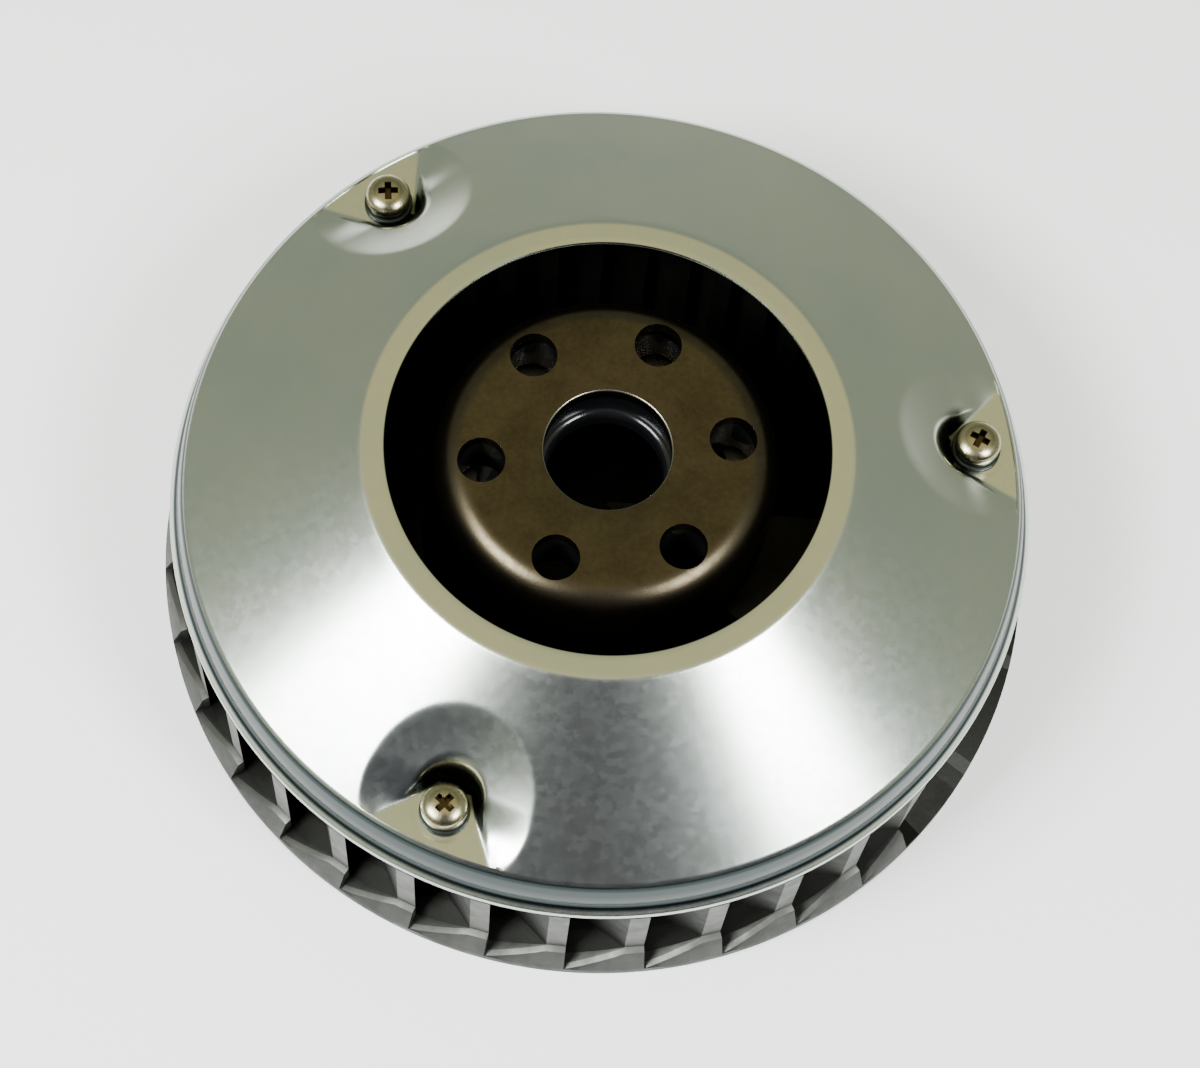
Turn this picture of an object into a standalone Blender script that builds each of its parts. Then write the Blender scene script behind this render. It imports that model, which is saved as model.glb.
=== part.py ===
"""Cooling-fan flywheel of a small engine, as separate pieces around one axis.

The axis of rotation is Z. The wheel stands on the rim of its fan casting at z = 0, with
the air inlet and the bolt face looking up. X runs through one cover screw.
"""
from math import atan2, cos, degrees, hypot, log, pi, radians, sin, tan

import bmesh
import bpy
from mathutils import Vector

MM = 0.001
GAP = 0.3 * MM

# Fan casting.
BASE_RADIUS = 93.5 * MM
BASE_RIM_HEIGHT = 2.4 * MM
TIP_RADIUS = 90.0 * MM
VANE_COUNT = 35
VANE_PHASE = 1.4
VANE_THICKNESS = 2.5 * MM
VANE_SWEEP_ANGLE = 38.0
VANE_INNER_RADIUS = 53.0 * MM
KINK_HEIGHT = 8.1 * MM
PLATE_INNER_RADIUS = 37.0 * MM
PLATE_HUB_HEIGHT = 12.0 * MM
PLATE_SEAT_RADIUS = 49.0 * MM
PLATE_HUB_UNDERSIDE = 7.0 * MM
RAMP_START_RADIUS = 68.0 * MM
HUB_RISE_RADIUS = 60.0 * MM
RIM_INNER_RADIUS = 78.0 * MM
RIM_STEP_RADIUS = 75.0 * MM
RIM_STEP_HEIGHT = 3.5 * MM
SOLID_RAMPS = (31, 32, 33, 34)
SOLID_INNER_RADIUS = 66.0 * MM
BOSS_RADIUS = 5.6 * MM
BOSS_FOOT_HEIGHT = 5.0 * MM
SEAT_ROOM_RADIUS = 19.5 * MM

# Cover plate.
COVER_SHEET = 1.0 * MM
INLET_RADIUS = 44.9 * MM
COVER_TOP = 62.0 * MM
FLAT_RING_RADIUS = 49.9 * MM
CONE_EDGE_RADIUS = 85.6 * MM
CONE_EDGE_HEIGHT = 43.3 * MM
SKIRT_RADIUS = 88.0 * MM
LIP_RADIUS = 90.0 * MM
LIP_HEIGHT = 31.6 * MM
SEAT_HEIGHT = 42.8 * MM
SEAT_APEX_RADIUS = 67.6 * MM
SEAT_HALF_ANGLE = 8.0
SCOOP_CENTRE = 76.9 * MM
SCOOP_RADIUS = 17.4 * MM
SCOOP_HOLLOW = 0.55
POCKET_FLOOR_RADIUS = 6.4 * MM
POCKET_SLOPE = 1.8
CONE_STATIONS = (FLAT_RING_RADIUS, SCOOP_CENTRE - SCOOP_RADIUS, 62.0 * MM, 64.5 * MM, SEAT_APEX_RADIUS,
                 69.6 * MM, 71.6 * MM, 74.5 * MM, 78.5 * MM, 82.0 * MM, CONE_EDGE_RADIUS)

# Cover screws, M5 pan heads with a cross recess.
SCREW_COUNT = 3
SCREW_CIRCLE = 78.0 * MM
SCREW_HEAD_RADIUS = 4.75 * MM
SCREW_HEAD_HEIGHT = 3.4 * MM
SHANK_RADIUS = 2.35 * MM
SHANK_HOLE_RADIUS = 2.65 * MM
SHANK_END = 24.0 * MM
PLAIN_WASHER_RADIUS = 5.1 * MM
PLAIN_WASHER_THICKNESS = 0.9 * MM
SPRING_WASHER_RADIUS = 4.6 * MM
SPRING_WASHER_THICKNESS = 1.2 * MM
SPRING_WASHER_TURN = 344.0
RECESS_SPAN = 4.8 * MM
RECESS_SLOT = 1.1 * MM
RECESS_DEPTH = 1.8 * MM

# Rotor cup and what it holds.
CUP_TOP = 58.8 * MM
CUP_SHEET = 3.2 * MM
CUP_RADIUS = 35.0 * MM
CUP_CORNER = 6.5 * MM
CUP_FLANGE_RADIUS = 48.0 * MM
CUP_FLANGE_SHEET = 2.4 * MM
BOLT_COUNT = 6
BOLT_CIRCLE = 25.6 * MM
BOLT_HOLE_RADIUS = 4.85 * MM
PILOT_RADIUS = 12.95 * MM
HUB_THICKNESS = 11.4 * MM
HUB_PILOT_RADIUS = 12.0 * MM
HUB_LEDGE_DEPTH = 10.0 * MM
RIVET_CIRCLE = 43.0 * MM
RIVET_SHANK_RADIUS = 2.4 * MM
RIVET_HOLE_RADIUS = 2.7 * MM
RIVET_HEAD_RADIUS = 4.1 * MM
RIVET_HEAD_HEIGHT = 2.0 * MM
MAGNET_COUNT = 6
MAGNET_THICKNESS = 4.2 * MM
MAGNET_LOW = 17.5 * MM
MAGNET_HIGH = 39.5 * MM
CAGE_SHEET = 0.7 * MM

# Ignition magnet and its pole shoes, in a pocket under the solid sector.
POCKET_RADIUS = 80.5 * MM
POCKET_DEPTH = 21.0 * MM
MAGNET_BLOCK = (10.0 * MM, 12.0 * MM, 18.0 * MM)
SHOE_WIDTH = 9.0 * MM
BLOCK_LIFT = 1.0 * MM
TIMING_MARK_HEIGHT = 24.5 * MM
TIMING_MARK_RADIUS = 1.3 * MM
TIMING_MARK_DEPTH = 1.5 * MM

ROUND = 36
VANE_PITCH = 360.0 / VANE_COUNT
SECTOR_MIDDLE = VANE_PHASE + VANE_PITCH * (sum(SOLID_RAMPS) / len(SOLID_RAMPS) - 0.5)
SCREW_ANGLES = [index * 360.0 / SCREW_COUNT for index in range(SCREW_COUNT)]
CUP_INNER_RADIUS = CUP_RADIUS - CUP_SHEET


def clear_scene():
    for item in list(bpy.data.objects):
        bpy.data.objects.remove(item, do_unlink=True)


def material(name, colour, roughness, metallic):
    made = bpy.data.materials.new(name)
    made.use_nodes = True
    shader = made.node_tree.nodes["Principled BSDF"]
    shader.inputs["Base Color"].default_value = (*colour, 1.0)
    shader.inputs["Roughness"].default_value = roughness
    shader.inputs["Metallic"].default_value = metallic
    made.diffuse_color = (*colour, 1.0)
    return made


def polar(radius, angle, height):
    return Vector((radius * cos(radians(angle)), radius * sin(radians(angle)), height))


def place_mesh(name, bm, finish, crease=35.0):
    mesh = bpy.data.meshes.new(name)
    bm.normal_update()
    bm.to_mesh(mesh)
    bm.free()
    mesh.shade_smooth()
    mesh.set_sharp_from_angle(angle=radians(crease))
    mesh.materials.append(finish)
    made = bpy.data.objects.new(name, mesh)
    bpy.context.scene.collection.objects.link(made)
    return made


def close_mesh(bm, merge=0.00001):
    bmesh.ops.remove_doubles(bm, verts=bm.verts, dist=merge)
    bmesh.ops.recalc_face_normals(bm, faces=bm.faces)


def add_face(bm, points):
    """Add one polygon, leaving out corners that lie on the one before."""
    kept = [p for index, p in enumerate(points) if (p - points[index - 1]).length > 1e-7]
    if len(kept) > 2:
        bm.faces.new([bm.verts.new(p) for p in kept])


def turned(name, profile, finish, steps=ROUND, centre=(0.0, 0.0)):
    """Spin a closed outline of (radius, height) points about a vertical axis."""
    bm = bmesh.new()
    ring = [bm.verts.new((centre[0] + r, centre[1], z)) for r, z in profile]
    edges = [bm.edges.new((ring[i - 1], ring[i])) for i in range(len(ring))]
    bmesh.ops.spin(bm, geom=ring + edges, cent=(centre[0], centre[1], 0.0), axis=(0.0, 0.0, 1.0),
                   angle=2.0 * pi, steps=steps, use_merge=True)
    close_mesh(bm)
    axis_edges = [e for e in bm.edges if not e.link_faces]
    bmesh.ops.delete(bm, geom=axis_edges, context="EDGES")
    return place_mesh(name, bm, finish)


def arc(centre, radius, start, end, steps):
    """Points of an arc in the (radius, height) plane, angles in degrees."""
    turn = [radians(start + (end - start) * i / steps) for i in range(steps + 1)]
    return [(centre[0] + radius * cos(a), centre[1] + radius * sin(a)) for a in turn]


def cylinder_points(bm, radius, low, high, middle, steps=20):
    made = bmesh.ops.create_cone(bm, cap_ends=True, segments=steps, radius1=radius, radius2=radius,
                                 depth=high - low)
    shift = Vector((middle[0], middle[1], (low + high) / 2.0))
    bmesh.ops.translate(bm, verts=made["verts"], vec=shift)


def cutter(name, bm):
    mesh = bpy.data.meshes.new(name)
    bm.to_mesh(mesh)
    bm.free()
    made = bpy.data.objects.new(name, mesh)
    made.hide_render = True
    made.display_type = "WIRE"
    bpy.context.scene.collection.objects.link(made)
    return made


def combine(target, tool, operation="DIFFERENCE"):
    step = target.modifiers.new(tool.name, "BOOLEAN")
    step.operation = operation
    step.solver = "EXACT"
    step.object = tool


def drill(target, radius, circle, angles, low, high, steps=14):
    """Cut vertical holes on a circle."""
    bm = bmesh.new()
    for angle in angles:
        cylinder_points(bm, radius, low, high, polar(circle, angle, 0.0), steps)
    combine(target, cutter(target.name + "_holes", bm))


# ---------------------------------------------------------------- cover plate

def cone_height(radius):
    """Height of the cover's outer surface on its cone."""
    slope = (COVER_TOP - CONE_EDGE_HEIGHT) / (CONE_EDGE_RADIUS - FLAT_RING_RADIUS)
    return COVER_TOP - slope * (radius - FLAT_RING_RADIUS)


def seat_height(radius, angle, height):
    """Height of the sheet where a seat is pressed into the cone, whose own height is given.

    A flat triangular pad lies at the bottom of a round scoop. Close to the screw a steeper
    pocket makes room for the head.
    """
    if not FLAT_RING_RADIUS < radius <= CONE_EDGE_RADIUS:
        return height
    turn = (angle + 60.0) % 120.0 - 60.0
    across = abs(radius * sin(radians(turn)))
    along = radius * cos(radians(turn))
    lean = atan2(CONE_EDGE_RADIUS * sin(radians(SEAT_HALF_ANGLE)), CONE_EDGE_RADIUS - SEAT_APEX_RADIUS)
    from_pad = max(across * cos(lean) - (along - SEAT_APEX_RADIUS) * sin(lean), 0.0)
    from_edge = SCOOP_RADIUS - hypot(across, along - SCOOP_CENTRE)
    if from_edge <= 0.0:
        return height
    share = from_pad / (from_pad + from_edge)
    bowl = SEAT_HEIGHT + (height - SEAT_HEIGHT) * share * (1.0 - SCOOP_HOLLOW + SCOOP_HOLLOW * share)
    from_screw = hypot(across, along - SCREW_CIRCLE)
    pocket = SEAT_HEIGHT + POCKET_SLOPE * max(from_screw - POCKET_FLOOR_RADIUS, 0.0)
    return min(height, bowl, pocket)


def cover_section():
    """Outer path of the sheet, from the inlet edge out to the lip."""
    path = [(INLET_RADIUS, COVER_TOP - 1.0 * MM), (INLET_RADIUS + 0.6 * MM, COVER_TOP)]
    path += [(radius, cone_height(radius)) for radius in CONE_STATIONS]
    path.append((SKIRT_RADIUS - 0.7 * MM, CONE_EDGE_HEIGHT - 1.3 * MM))
    path.append((SKIRT_RADIUS, CONE_EDGE_HEIGHT - 3.2 * MM))
    path.append((SKIRT_RADIUS + 0.2 * MM, LIP_HEIGHT + 4.4 * MM))
    path.append((LIP_RADIUS, LIP_HEIGHT + 1.2 * MM))
    path.append((LIP_RADIUS, LIP_HEIGHT))
    return path


def offset_path(path, distance):
    """Path moved towards the inside of the sheet."""
    moved = []
    for index, (r, z) in enumerate(path):
        before = path[max(index - 1, 0)]
        after = path[min(index + 1, len(path) - 1)]
        run = hypot(after[0] - before[0], after[1] - before[1])
        normal = ((before[1] - after[1]) / run, (after[0] - before[0]) / run)
        moved.append((r - normal[0] * distance, z - normal[1] * distance))
    return moved


def cover_angles():
    """Stations round the cover, close together across each screw seat."""
    fine = [-13.5 + 2.25 * i for i in range(13)]
    coarse = [13.5 + 93.0 * i / 11.0 for i in range(1, 11)]
    return [seat + a for seat in SCREW_ANGLES for a in fine + coarse]


def build_cover(finish):
    outer = cover_section()
    inner = offset_path(outer, COVER_SHEET)
    inner[0] = (INLET_RADIUS, COVER_TOP - 1.9 * MM)
    inner[1] = (INLET_RADIUS + 1.0 * MM, COVER_TOP - COVER_SHEET)
    inner[-1] = (LIP_RADIUS - COVER_SHEET, LIP_HEIGHT)
    bm = bmesh.new()
    columns = []
    for angle in cover_angles():
        column = []
        for r, z in outer:
            column.append(polar(r, angle, seat_height(r, angle, z)))
        for (r, z), (lead_r, lead_z) in reversed(list(zip(inner, outer))):
            column.append(polar(r, angle, z - lead_z + seat_height(lead_r, angle, lead_z)))
        columns.append([bm.verts.new(p) for p in column])
    for index, column in enumerate(columns):
        before = columns[index - 1]
        for row in range(len(column)):
            bm.faces.new((before[row - 1], before[row], column[row], column[row - 1]))
    close_mesh(bm)
    cover = place_mesh("cover_plate", bm, finish)
    drill(cover, SHANK_HOLE_RADIUS, SCREW_CIRCLE, SCREW_ANGLES, SEAT_HEIGHT - 5.0 * MM,
          SEAT_HEIGHT + 5.0 * MM)
    return cover


# ---------------------------------------------------------------- fan casting

def sweep(radius):
    """Angle by which a vane leads its tip at a radius, along a log spiral."""
    held = min(max(radius, VANE_INNER_RADIUS), TIP_RADIUS)
    return degrees(log(held / TIP_RADIUS) / tan(radians(VANE_SWEEP_ANGLE)))


def vane_half_angle(radius):
    across = VANE_THICKNESS / sin(radians(VANE_SWEEP_ANGLE)) / 2.0
    return degrees(across / radius)


def floor_height(radius, share):
    """Height of the channel floor; share runs from 0 under a vane's face to 1 at the next vane."""
    outward = min(max((radius - RAMP_START_RADIUS) / (TIP_RADIUS - RAMP_START_RADIUS), 0.0), 1.0)
    inward = min(max((HUB_RISE_RADIUS - radius) / (HUB_RISE_RADIUS - PLATE_INNER_RADIUS), 0.0), 1.0)
    inner = KINK_HEIGHT + (PLATE_HUB_HEIGHT - KINK_HEIGHT) * min(inward * 2.0, 1.0)
    return inner - (KINK_HEIGHT - BASE_RIM_HEIGHT) * outward * share


RABBET_RADIUS = SKIRT_RADIUS - COVER_SHEET - 0.6 * MM
TOP_STATIONS = (VANE_INNER_RADIUS, 59.0 * MM, SOLID_INNER_RADIUS, 76.0 * MM, RABBET_RADIUS,
                RABBET_RADIUS + 0.05 * MM, TIP_RADIUS)
FLOOR_STATIONS = tuple(r for r in TOP_STATIONS if r != RABBET_RADIUS + 0.05 * MM)
SHARES = (0.0, 0.5, 1.0)


def vane_top(radius):
    if radius > RABBET_RADIUS + 0.01 * MM:
        return LIP_HEIGHT - GAP
    return cone_height(radius) - COVER_SHEET - 1.0 * MM


def vane_point(index, side, radius, height):
    """Point on a vane's wall: side +1 is the wall that leads in X-to-Y direction."""
    angle = VANE_PHASE + index * VANE_PITCH + sweep(radius) + side * vane_half_angle(radius)
    return polar(radius, angle, height)


def ramp_point(index, share, radius, height):
    """Point between vane `index` (share 0) and the vane before it (share 1)."""
    start = VANE_PHASE + index * VANE_PITCH + sweep(radius) - vane_half_angle(radius)
    end = VANE_PHASE + (index - 1) * VANE_PITCH + sweep(radius) + vane_half_angle(radius)
    return polar(radius, start + (end - start) * share, height)


def add_strip(bm, index, stations, height):
    """Faces between two vanes along a run of radii, with heights from height(radius, share)."""
    for inner, outer in zip(stations, stations[1:]):
        for low, high in zip(SHARES, SHARES[1:]):
            add_face(bm, [ramp_point(index, low, inner, height(inner, low)),
                          ramp_point(index, high, inner, height(inner, high)),
                          ramp_point(index, high, outer, height(outer, high)),
                          ramp_point(index, low, outer, height(outer, low))])


def add_channel(bm, index):
    """Floor between two vanes: a ramp that falls away from the face of vane `index`."""
    add_strip(bm, index, FLOOR_STATIONS, floor_height)
    widest = BASE_RADIUS - TIP_RADIUS
    edge = [ramp_point(index, s, TIP_RADIUS, floor_height(TIP_RADIUS, s)) for s in SHARES]
    lip = [ramp_point(index, s, TIP_RADIUS + widest * s, floor_height(TIP_RADIUS, s)) for s in SHARES]
    rim = [ramp_point(index, s, BASE_RADIUS, BASE_RIM_HEIGHT) for s in SHARES]
    for i in (0, 1):
        add_face(bm, [edge[i], edge[i + 1], lip[i + 1], lip[i]])
        add_face(bm, [lip[i], lip[i + 1], rim[i + 1], rim[i]])
    foot = vane_point(index, -1, TIP_RADIUS, BASE_RIM_HEIGHT)
    add_face(bm, [foot, edge[0], rim[0]])


def add_solid_channel(bm, index):
    """Space between two vanes filled solid from SOLID_INNER_RADIUS out."""
    add_strip(bm, index, [r for r in FLOOR_STATIONS if r <= SOLID_INNER_RADIUS], floor_height)
    add_strip(bm, index, [r for r in TOP_STATIONS if r >= SOLID_INNER_RADIUS], lambda r, share: vane_top(r))
    wall, ledge = SOLID_INNER_RADIUS, vane_top(TIP_RADIUS)
    for low, high in zip(SHARES, SHARES[1:]):
        add_face(bm, [ramp_point(index, low, wall, floor_height(wall, low)),
                      ramp_point(index, high, wall, floor_height(wall, high)),
                      ramp_point(index, high, wall, vane_top(wall)),
                      ramp_point(index, low, wall, vane_top(wall))])
        add_face(bm, [ramp_point(index, low, TIP_RADIUS, ledge), ramp_point(index, high, TIP_RADIUS, ledge),
                      ramp_point(index, high, BASE_RADIUS, BASE_RIM_HEIGHT),
                      ramp_point(index, low, BASE_RADIUS, BASE_RIM_HEIGHT)])


def add_vane(bm, index, solid_before, solid_after):
    """One vane, with walls where the channel beside it is open."""
    last = len(TOP_STATIONS) - 1
    for i in range(last):
        inner, outer = TOP_STATIONS[i], TOP_STATIONS[i + 1]
        top_in, top_out = vane_top(inner), vane_top(outer)
        add_face(bm, [vane_point(index, 1, inner, top_in), vane_point(index, -1, inner, top_in),
                      vane_point(index, -1, outer, top_out), vane_point(index, 1, outer, top_out)])
        for side, share, solid in ((-1, 0.0, solid_before), (1, 1.0, solid_after)):
            if solid and inner >= SOLID_INNER_RADIUS:
                continue
            low_in = vane_point(index, side, inner, floor_height(inner, share))
            low_out = vane_point(index, side, outer, floor_height(outer, share))
            high = [vane_point(index, side, outer, top_out), vane_point(index, side, inner, top_in)]
            add_wall(bm, index, side, share, i, low_in, low_out, high)
    add_vane_ends(bm, index, solid_before, solid_after)


def add_wall(bm, index, side, share, i, low_in, low_out, high):
    """Wall panel; the narrow step of the ledge is joined to the panel outside it."""
    step = len(TOP_STATIONS) - 3
    if i == step:
        return
    if i == step + 1:
        inner = TOP_STATIONS[step]
        low_in = vane_point(index, side, inner, floor_height(inner, share))
        high = high + [vane_point(index, side, inner, vane_top(inner))]
    add_face(bm, [low_in, low_out] + high)


def add_vane_ends(bm, index, solid_before, solid_after):
    """Inner end, tip and foot of a vane."""
    inner = VANE_INNER_RADIUS
    add_face(bm, [vane_point(index, 1, inner, floor_height(inner, 1.0)),
                  vane_point(index, -1, inner, floor_height(inner, 0.0)),
                  vane_point(index, -1, inner, vane_top(inner)),
                  vane_point(index, 1, inner, vane_top(inner))])
    ledge = vane_top(TIP_RADIUS)
    ahead_top = vane_point(index, 1, TIP_RADIUS, ledge)
    behind_top = vane_point(index, -1, TIP_RADIUS, ledge)
    ahead_rim = vane_point(index, 1, BASE_RADIUS, BASE_RIM_HEIGHT)
    behind_rim = vane_point(index, -1, BASE_RADIUS, BASE_RIM_HEIGHT)
    ahead_foot = vane_point(index, 1, TIP_RADIUS, BASE_RIM_HEIGHT)
    behind_foot = vane_point(index, -1, TIP_RADIUS, BASE_RIM_HEIGHT)
    kink = vane_point(index, -1, TIP_RADIUS, KINK_HEIGHT)
    if solid_before and solid_after:
        add_face(bm, [ahead_top, behind_top, behind_rim, ahead_rim])
    elif solid_before:
        add_face(bm, [ahead_top, behind_top, behind_rim, ahead_foot])
        add_face(bm, [ahead_foot, behind_rim, ahead_rim])
    elif solid_after:
        add_face(bm, [ahead_top, behind_top, kink, behind_foot])
        add_face(bm, [ahead_top, behind_foot, ahead_rim])
        add_face(bm, [behind_foot, behind_rim, ahead_rim])
    else:
        add_face(bm, [ahead_top, behind_top, kink, behind_foot, ahead_foot])
        add_face(bm, [ahead_foot, behind_foot, behind_rim, ahead_rim])


def add_plate(bm, index):
    """Hub side, underside and rim of the plate over one pitch."""
    inner = VANE_INNER_RADIUS
    path = ((BASE_RADIUS, BASE_RIM_HEIGHT), (BASE_RADIUS, 0.0), (RIM_INNER_RADIUS, 0.0),
            (RIM_STEP_RADIUS, RIM_STEP_HEIGHT), (inner, PLATE_HUB_UNDERSIDE),
            (PLATE_INNER_RADIUS, PLATE_HUB_UNDERSIDE),
            (PLATE_INNER_RADIUS, PLATE_HUB_HEIGHT), (PLATE_SEAT_RADIUS, PLATE_HUB_HEIGHT),
            (inner, floor_height(inner, 0.0)))
    for (r1, z1), (r2, z2) in zip(path, path[1:]):
        for low, high in zip(SHARES, SHARES[1:]):
            add_face(bm, [ramp_point(index, low, r1, z1), ramp_point(index, high, r1, z1),
                          ramp_point(index, high, r2, z2), ramp_point(index, low, r2, z2)])
        add_face(bm, [vane_point(index, 1, r1, z1), vane_point(index, -1, r1, z1),
                      vane_point(index, -1, r2, z2), vane_point(index, 1, r2, z2)])


def build_fan(finish):
    bm = bmesh.new()
    for index in range(VANE_COUNT):
        solid_before = index in SOLID_RAMPS
        solid_after = (index + 1) in SOLID_RAMPS
        add_vane(bm, index, solid_before, solid_after)
        if solid_before:
            add_solid_channel(bm, index)
        else:
            add_channel(bm, index)
        add_plate(bm, index)
    close_mesh(bm)
    fan = place_mesh("fan_wheel", bm, finish, 30.0)
    make_room_for_seats(fan)
    return fan


def make_room_for_seats(fan):
    """Lower the vanes under each pressed seat and raise a boss for its screw."""
    room = bmesh.new()
    bosses = bmesh.new()
    seat_floor = SEAT_HEIGHT - COVER_SHEET - 0.4 * MM
    for angle in SCREW_ANGLES:
        middle = polar(SCREW_CIRCLE, angle, 0.0)
        cylinder_points(room, SEAT_ROOM_RADIUS, seat_floor, COVER_TOP, polar(SCOOP_CENTRE, angle, 0.0), 24)
        cylinder_points(bosses, BOSS_RADIUS, BOSS_FOOT_HEIGHT, seat_floor - 0.1 * MM, middle, 16)
    combine(fan, cutter("seat_room", room))
    combine(fan, cutter("seat_bosses", bosses), "UNION")
    holes = bmesh.new()
    for angle in SCREW_ANGLES:
        cylinder_points(holes, SHANK_HOLE_RADIUS, SHANK_END - 1.0 * MM, COVER_TOP,
                        polar(SCREW_CIRCLE, angle, 0.0), 12)
    for angle in rivet_angles():
        cylinder_points(holes, RIVET_HOLE_RADIUS, 0.0, COVER_TOP, polar(RIVET_CIRCLE, angle, 0.0), 8)
    add_pocket(holes)
    add_timing_mark(holes)
    combine(fan, cutter("fan_holes", holes))


def add_pocket(bm):
    """Pocket for the ignition magnet, open at the underside of the rim."""
    made = bmesh.ops.create_cube(bm, size=1.0)
    depth = MAGNET_BLOCK[0] + 2.0 * GAP
    width = MAGNET_BLOCK[1] + 2.0 * SHOE_WIDTH + 4.0 * GAP
    height = 2.0 * POCKET_DEPTH
    for vert in made["verts"]:
        flat = Vector((POCKET_RADIUS + vert.co.x * depth, vert.co.y * width, vert.co.z * height))
        turn = radians(SECTOR_MIDDLE)
        vert.co = Vector((flat.x * cos(turn) - flat.y * sin(turn),
                          flat.x * sin(turn) + flat.y * cos(turn), flat.z))


def add_timing_mark(bm):
    """Blind dimple in the outer face of the solid sector."""
    face = TIP_RADIUS + (BASE_RADIUS - TIP_RADIUS) * (LIP_HEIGHT - TIMING_MARK_HEIGHT) / LIP_HEIGHT
    made = bmesh.ops.create_cone(bm, cap_ends=True, segments=12, radius1=TIMING_MARK_RADIUS,
                                 radius2=TIMING_MARK_RADIUS, depth=2.0 * TIMING_MARK_DEPTH)
    turn = radians(SECTOR_MIDDLE)
    for vert in made["verts"]:
        out = face + vert.co.z
        vert.co = Vector((out * cos(turn) - vert.co.y * sin(turn),
                          out * sin(turn) + vert.co.y * cos(turn), TIMING_MARK_HEIGHT + vert.co.x))


# ---------------------------------------------------------------- cover screws

def build_spring_washer(name, angle, low, finish):
    """Split ring with a 1 mm gap, square in section."""
    bm = bmesh.new()
    inner = SHANK_RADIUS + 0.3 * MM
    high = low + SPRING_WASHER_THICKNESS
    section = [(inner, low), (SPRING_WASHER_RADIUS, low), (SPRING_WASHER_RADIUS, high), (inner, high)]
    middle = polar(SCREW_CIRCLE, angle, 0.0)
    verts = [bm.verts.new((middle.x + r, middle.y, z)) for r, z in section]
    face = bm.faces.new(verts)
    bmesh.ops.spin(bm, geom=[face], cent=middle, axis=(0.0, 0.0, 1.0),
                   angle=radians(SPRING_WASHER_TURN), steps=20)
    bmesh.ops.recalc_face_normals(bm, faces=bm.faces)
    return place_mesh(name, bm, finish)


def build_cover_screw(name, angle, low, finish):
    middle = polar(SCREW_CIRCLE, angle, 0.0)
    top = low + SCREW_HEAD_HEIGHT
    dome = [(SCREW_HEAD_RADIUS * cos(radians(a)), low + 0.9 * MM + (top - low - 0.9 * MM) * sin(radians(a)))
            for a in (0.0, 22.0, 45.0, 66.0, 90.0)]
    dome[-1] = (0.0, top)
    profile = [(0.0, SHANK_END), (SHANK_RADIUS - 0.6 * MM, SHANK_END), (SHANK_RADIUS, SHANK_END + 0.8 * MM),
               (SHANK_RADIUS, low), (SCREW_HEAD_RADIUS, low)] + dome
    screw = turned(name, profile, finish, 20, (middle.x, middle.y))
    recess = bmesh.new()
    for size in ((RECESS_SPAN, RECESS_SLOT), (RECESS_SLOT, RECESS_SPAN)):
        made = bmesh.ops.create_cube(recess, size=1.0)
        for vert in made["verts"]:
            narrow = 0.55 if vert.co.z < 0.0 else 1.0
            vert.co = Vector((middle.x + vert.co.x * size[0] * narrow,
                              middle.y + vert.co.y * size[1] * narrow,
                              top + vert.co.z * 2.0 * RECESS_DEPTH))
    combine(screw, cutter(name + "_recess", recess))
    screw.modifiers[-1].use_self = True
    return screw


def build_cover_screws(bright, spring):
    for index, angle in enumerate(SCREW_ANGLES, start=1):
        middle = polar(SCREW_CIRCLE, angle, 0.0)
        low = SEAT_HEIGHT + 0.2 * MM
        high = low + PLAIN_WASHER_THICKNESS
        ring = [(SHANK_HOLE_RADIUS, low), (PLAIN_WASHER_RADIUS, low),
                (PLAIN_WASHER_RADIUS, high), (SHANK_HOLE_RADIUS, high)]
        turned(f"cover_plain_washer_{index}", ring, bright, 20, (middle.x, middle.y))
        build_spring_washer(f"cover_spring_washer_{index}", angle, high + 0.2 * MM, spring)
        head = high + 0.4 * MM + SPRING_WASHER_THICKNESS
        build_cover_screw(f"cover_screw_{index}", angle, head, bright)


# ---------------------------------------------------------------- rotor cup

def rivet_angles():
    return [30.0 + index * 60.0 for index in range(6)]


def bolt_angles():
    return [index * 360.0 / BOLT_COUNT for index in range(BOLT_COUNT)]


def build_cup(finish):
    floor = PLATE_HUB_HEIGHT + GAP
    flange_top = floor + CUP_FLANGE_SHEET
    inner_corner = CUP_CORNER - CUP_SHEET
    corner = (CUP_RADIUS - CUP_CORNER, CUP_TOP - CUP_CORNER)
    root = 3.0 * MM
    outer = [(PILOT_RADIUS, CUP_TOP - 0.5 * MM), (PILOT_RADIUS + 0.5 * MM, CUP_TOP)]
    outer += arc(corner, CUP_CORNER, 90.0, 0.0, 4)
    outer += arc((CUP_RADIUS + root, flange_top + root), root, 180.0, 270.0, 2)
    outer += [(CUP_FLANGE_RADIUS, flange_top), (CUP_FLANGE_RADIUS, floor)]
    inner = [(CUP_RADIUS + root, floor)]
    inner += [(CUP_INNER_RADIUS + 1.0 * MM, floor + 1.0 * MM), (CUP_INNER_RADIUS, flange_top + root)]
    inner += arc(corner, inner_corner, 0.0, 90.0, 3)
    inner += [(PILOT_RADIUS, CUP_TOP - CUP_SHEET)]
    cup = turned("rotor_cup", outer + inner, finish, ROUND)
    bm = bmesh.new()
    for angle in bolt_angles():
        cylinder_points(bm, BOLT_HOLE_RADIUS, CUP_TOP - 8.0 * MM, CUP_TOP + 4.0 * MM,
                        polar(BOLT_CIRCLE, angle, 0.0), 14)
    for angle in rivet_angles():
        cylinder_points(bm, RIVET_HOLE_RADIUS, floor - 4.0 * MM, flange_top + 4.0 * MM,
                        polar(RIVET_CIRCLE, angle, 0.0), 8)
    combine(cup, cutter("cup_holes", bm))


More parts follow.
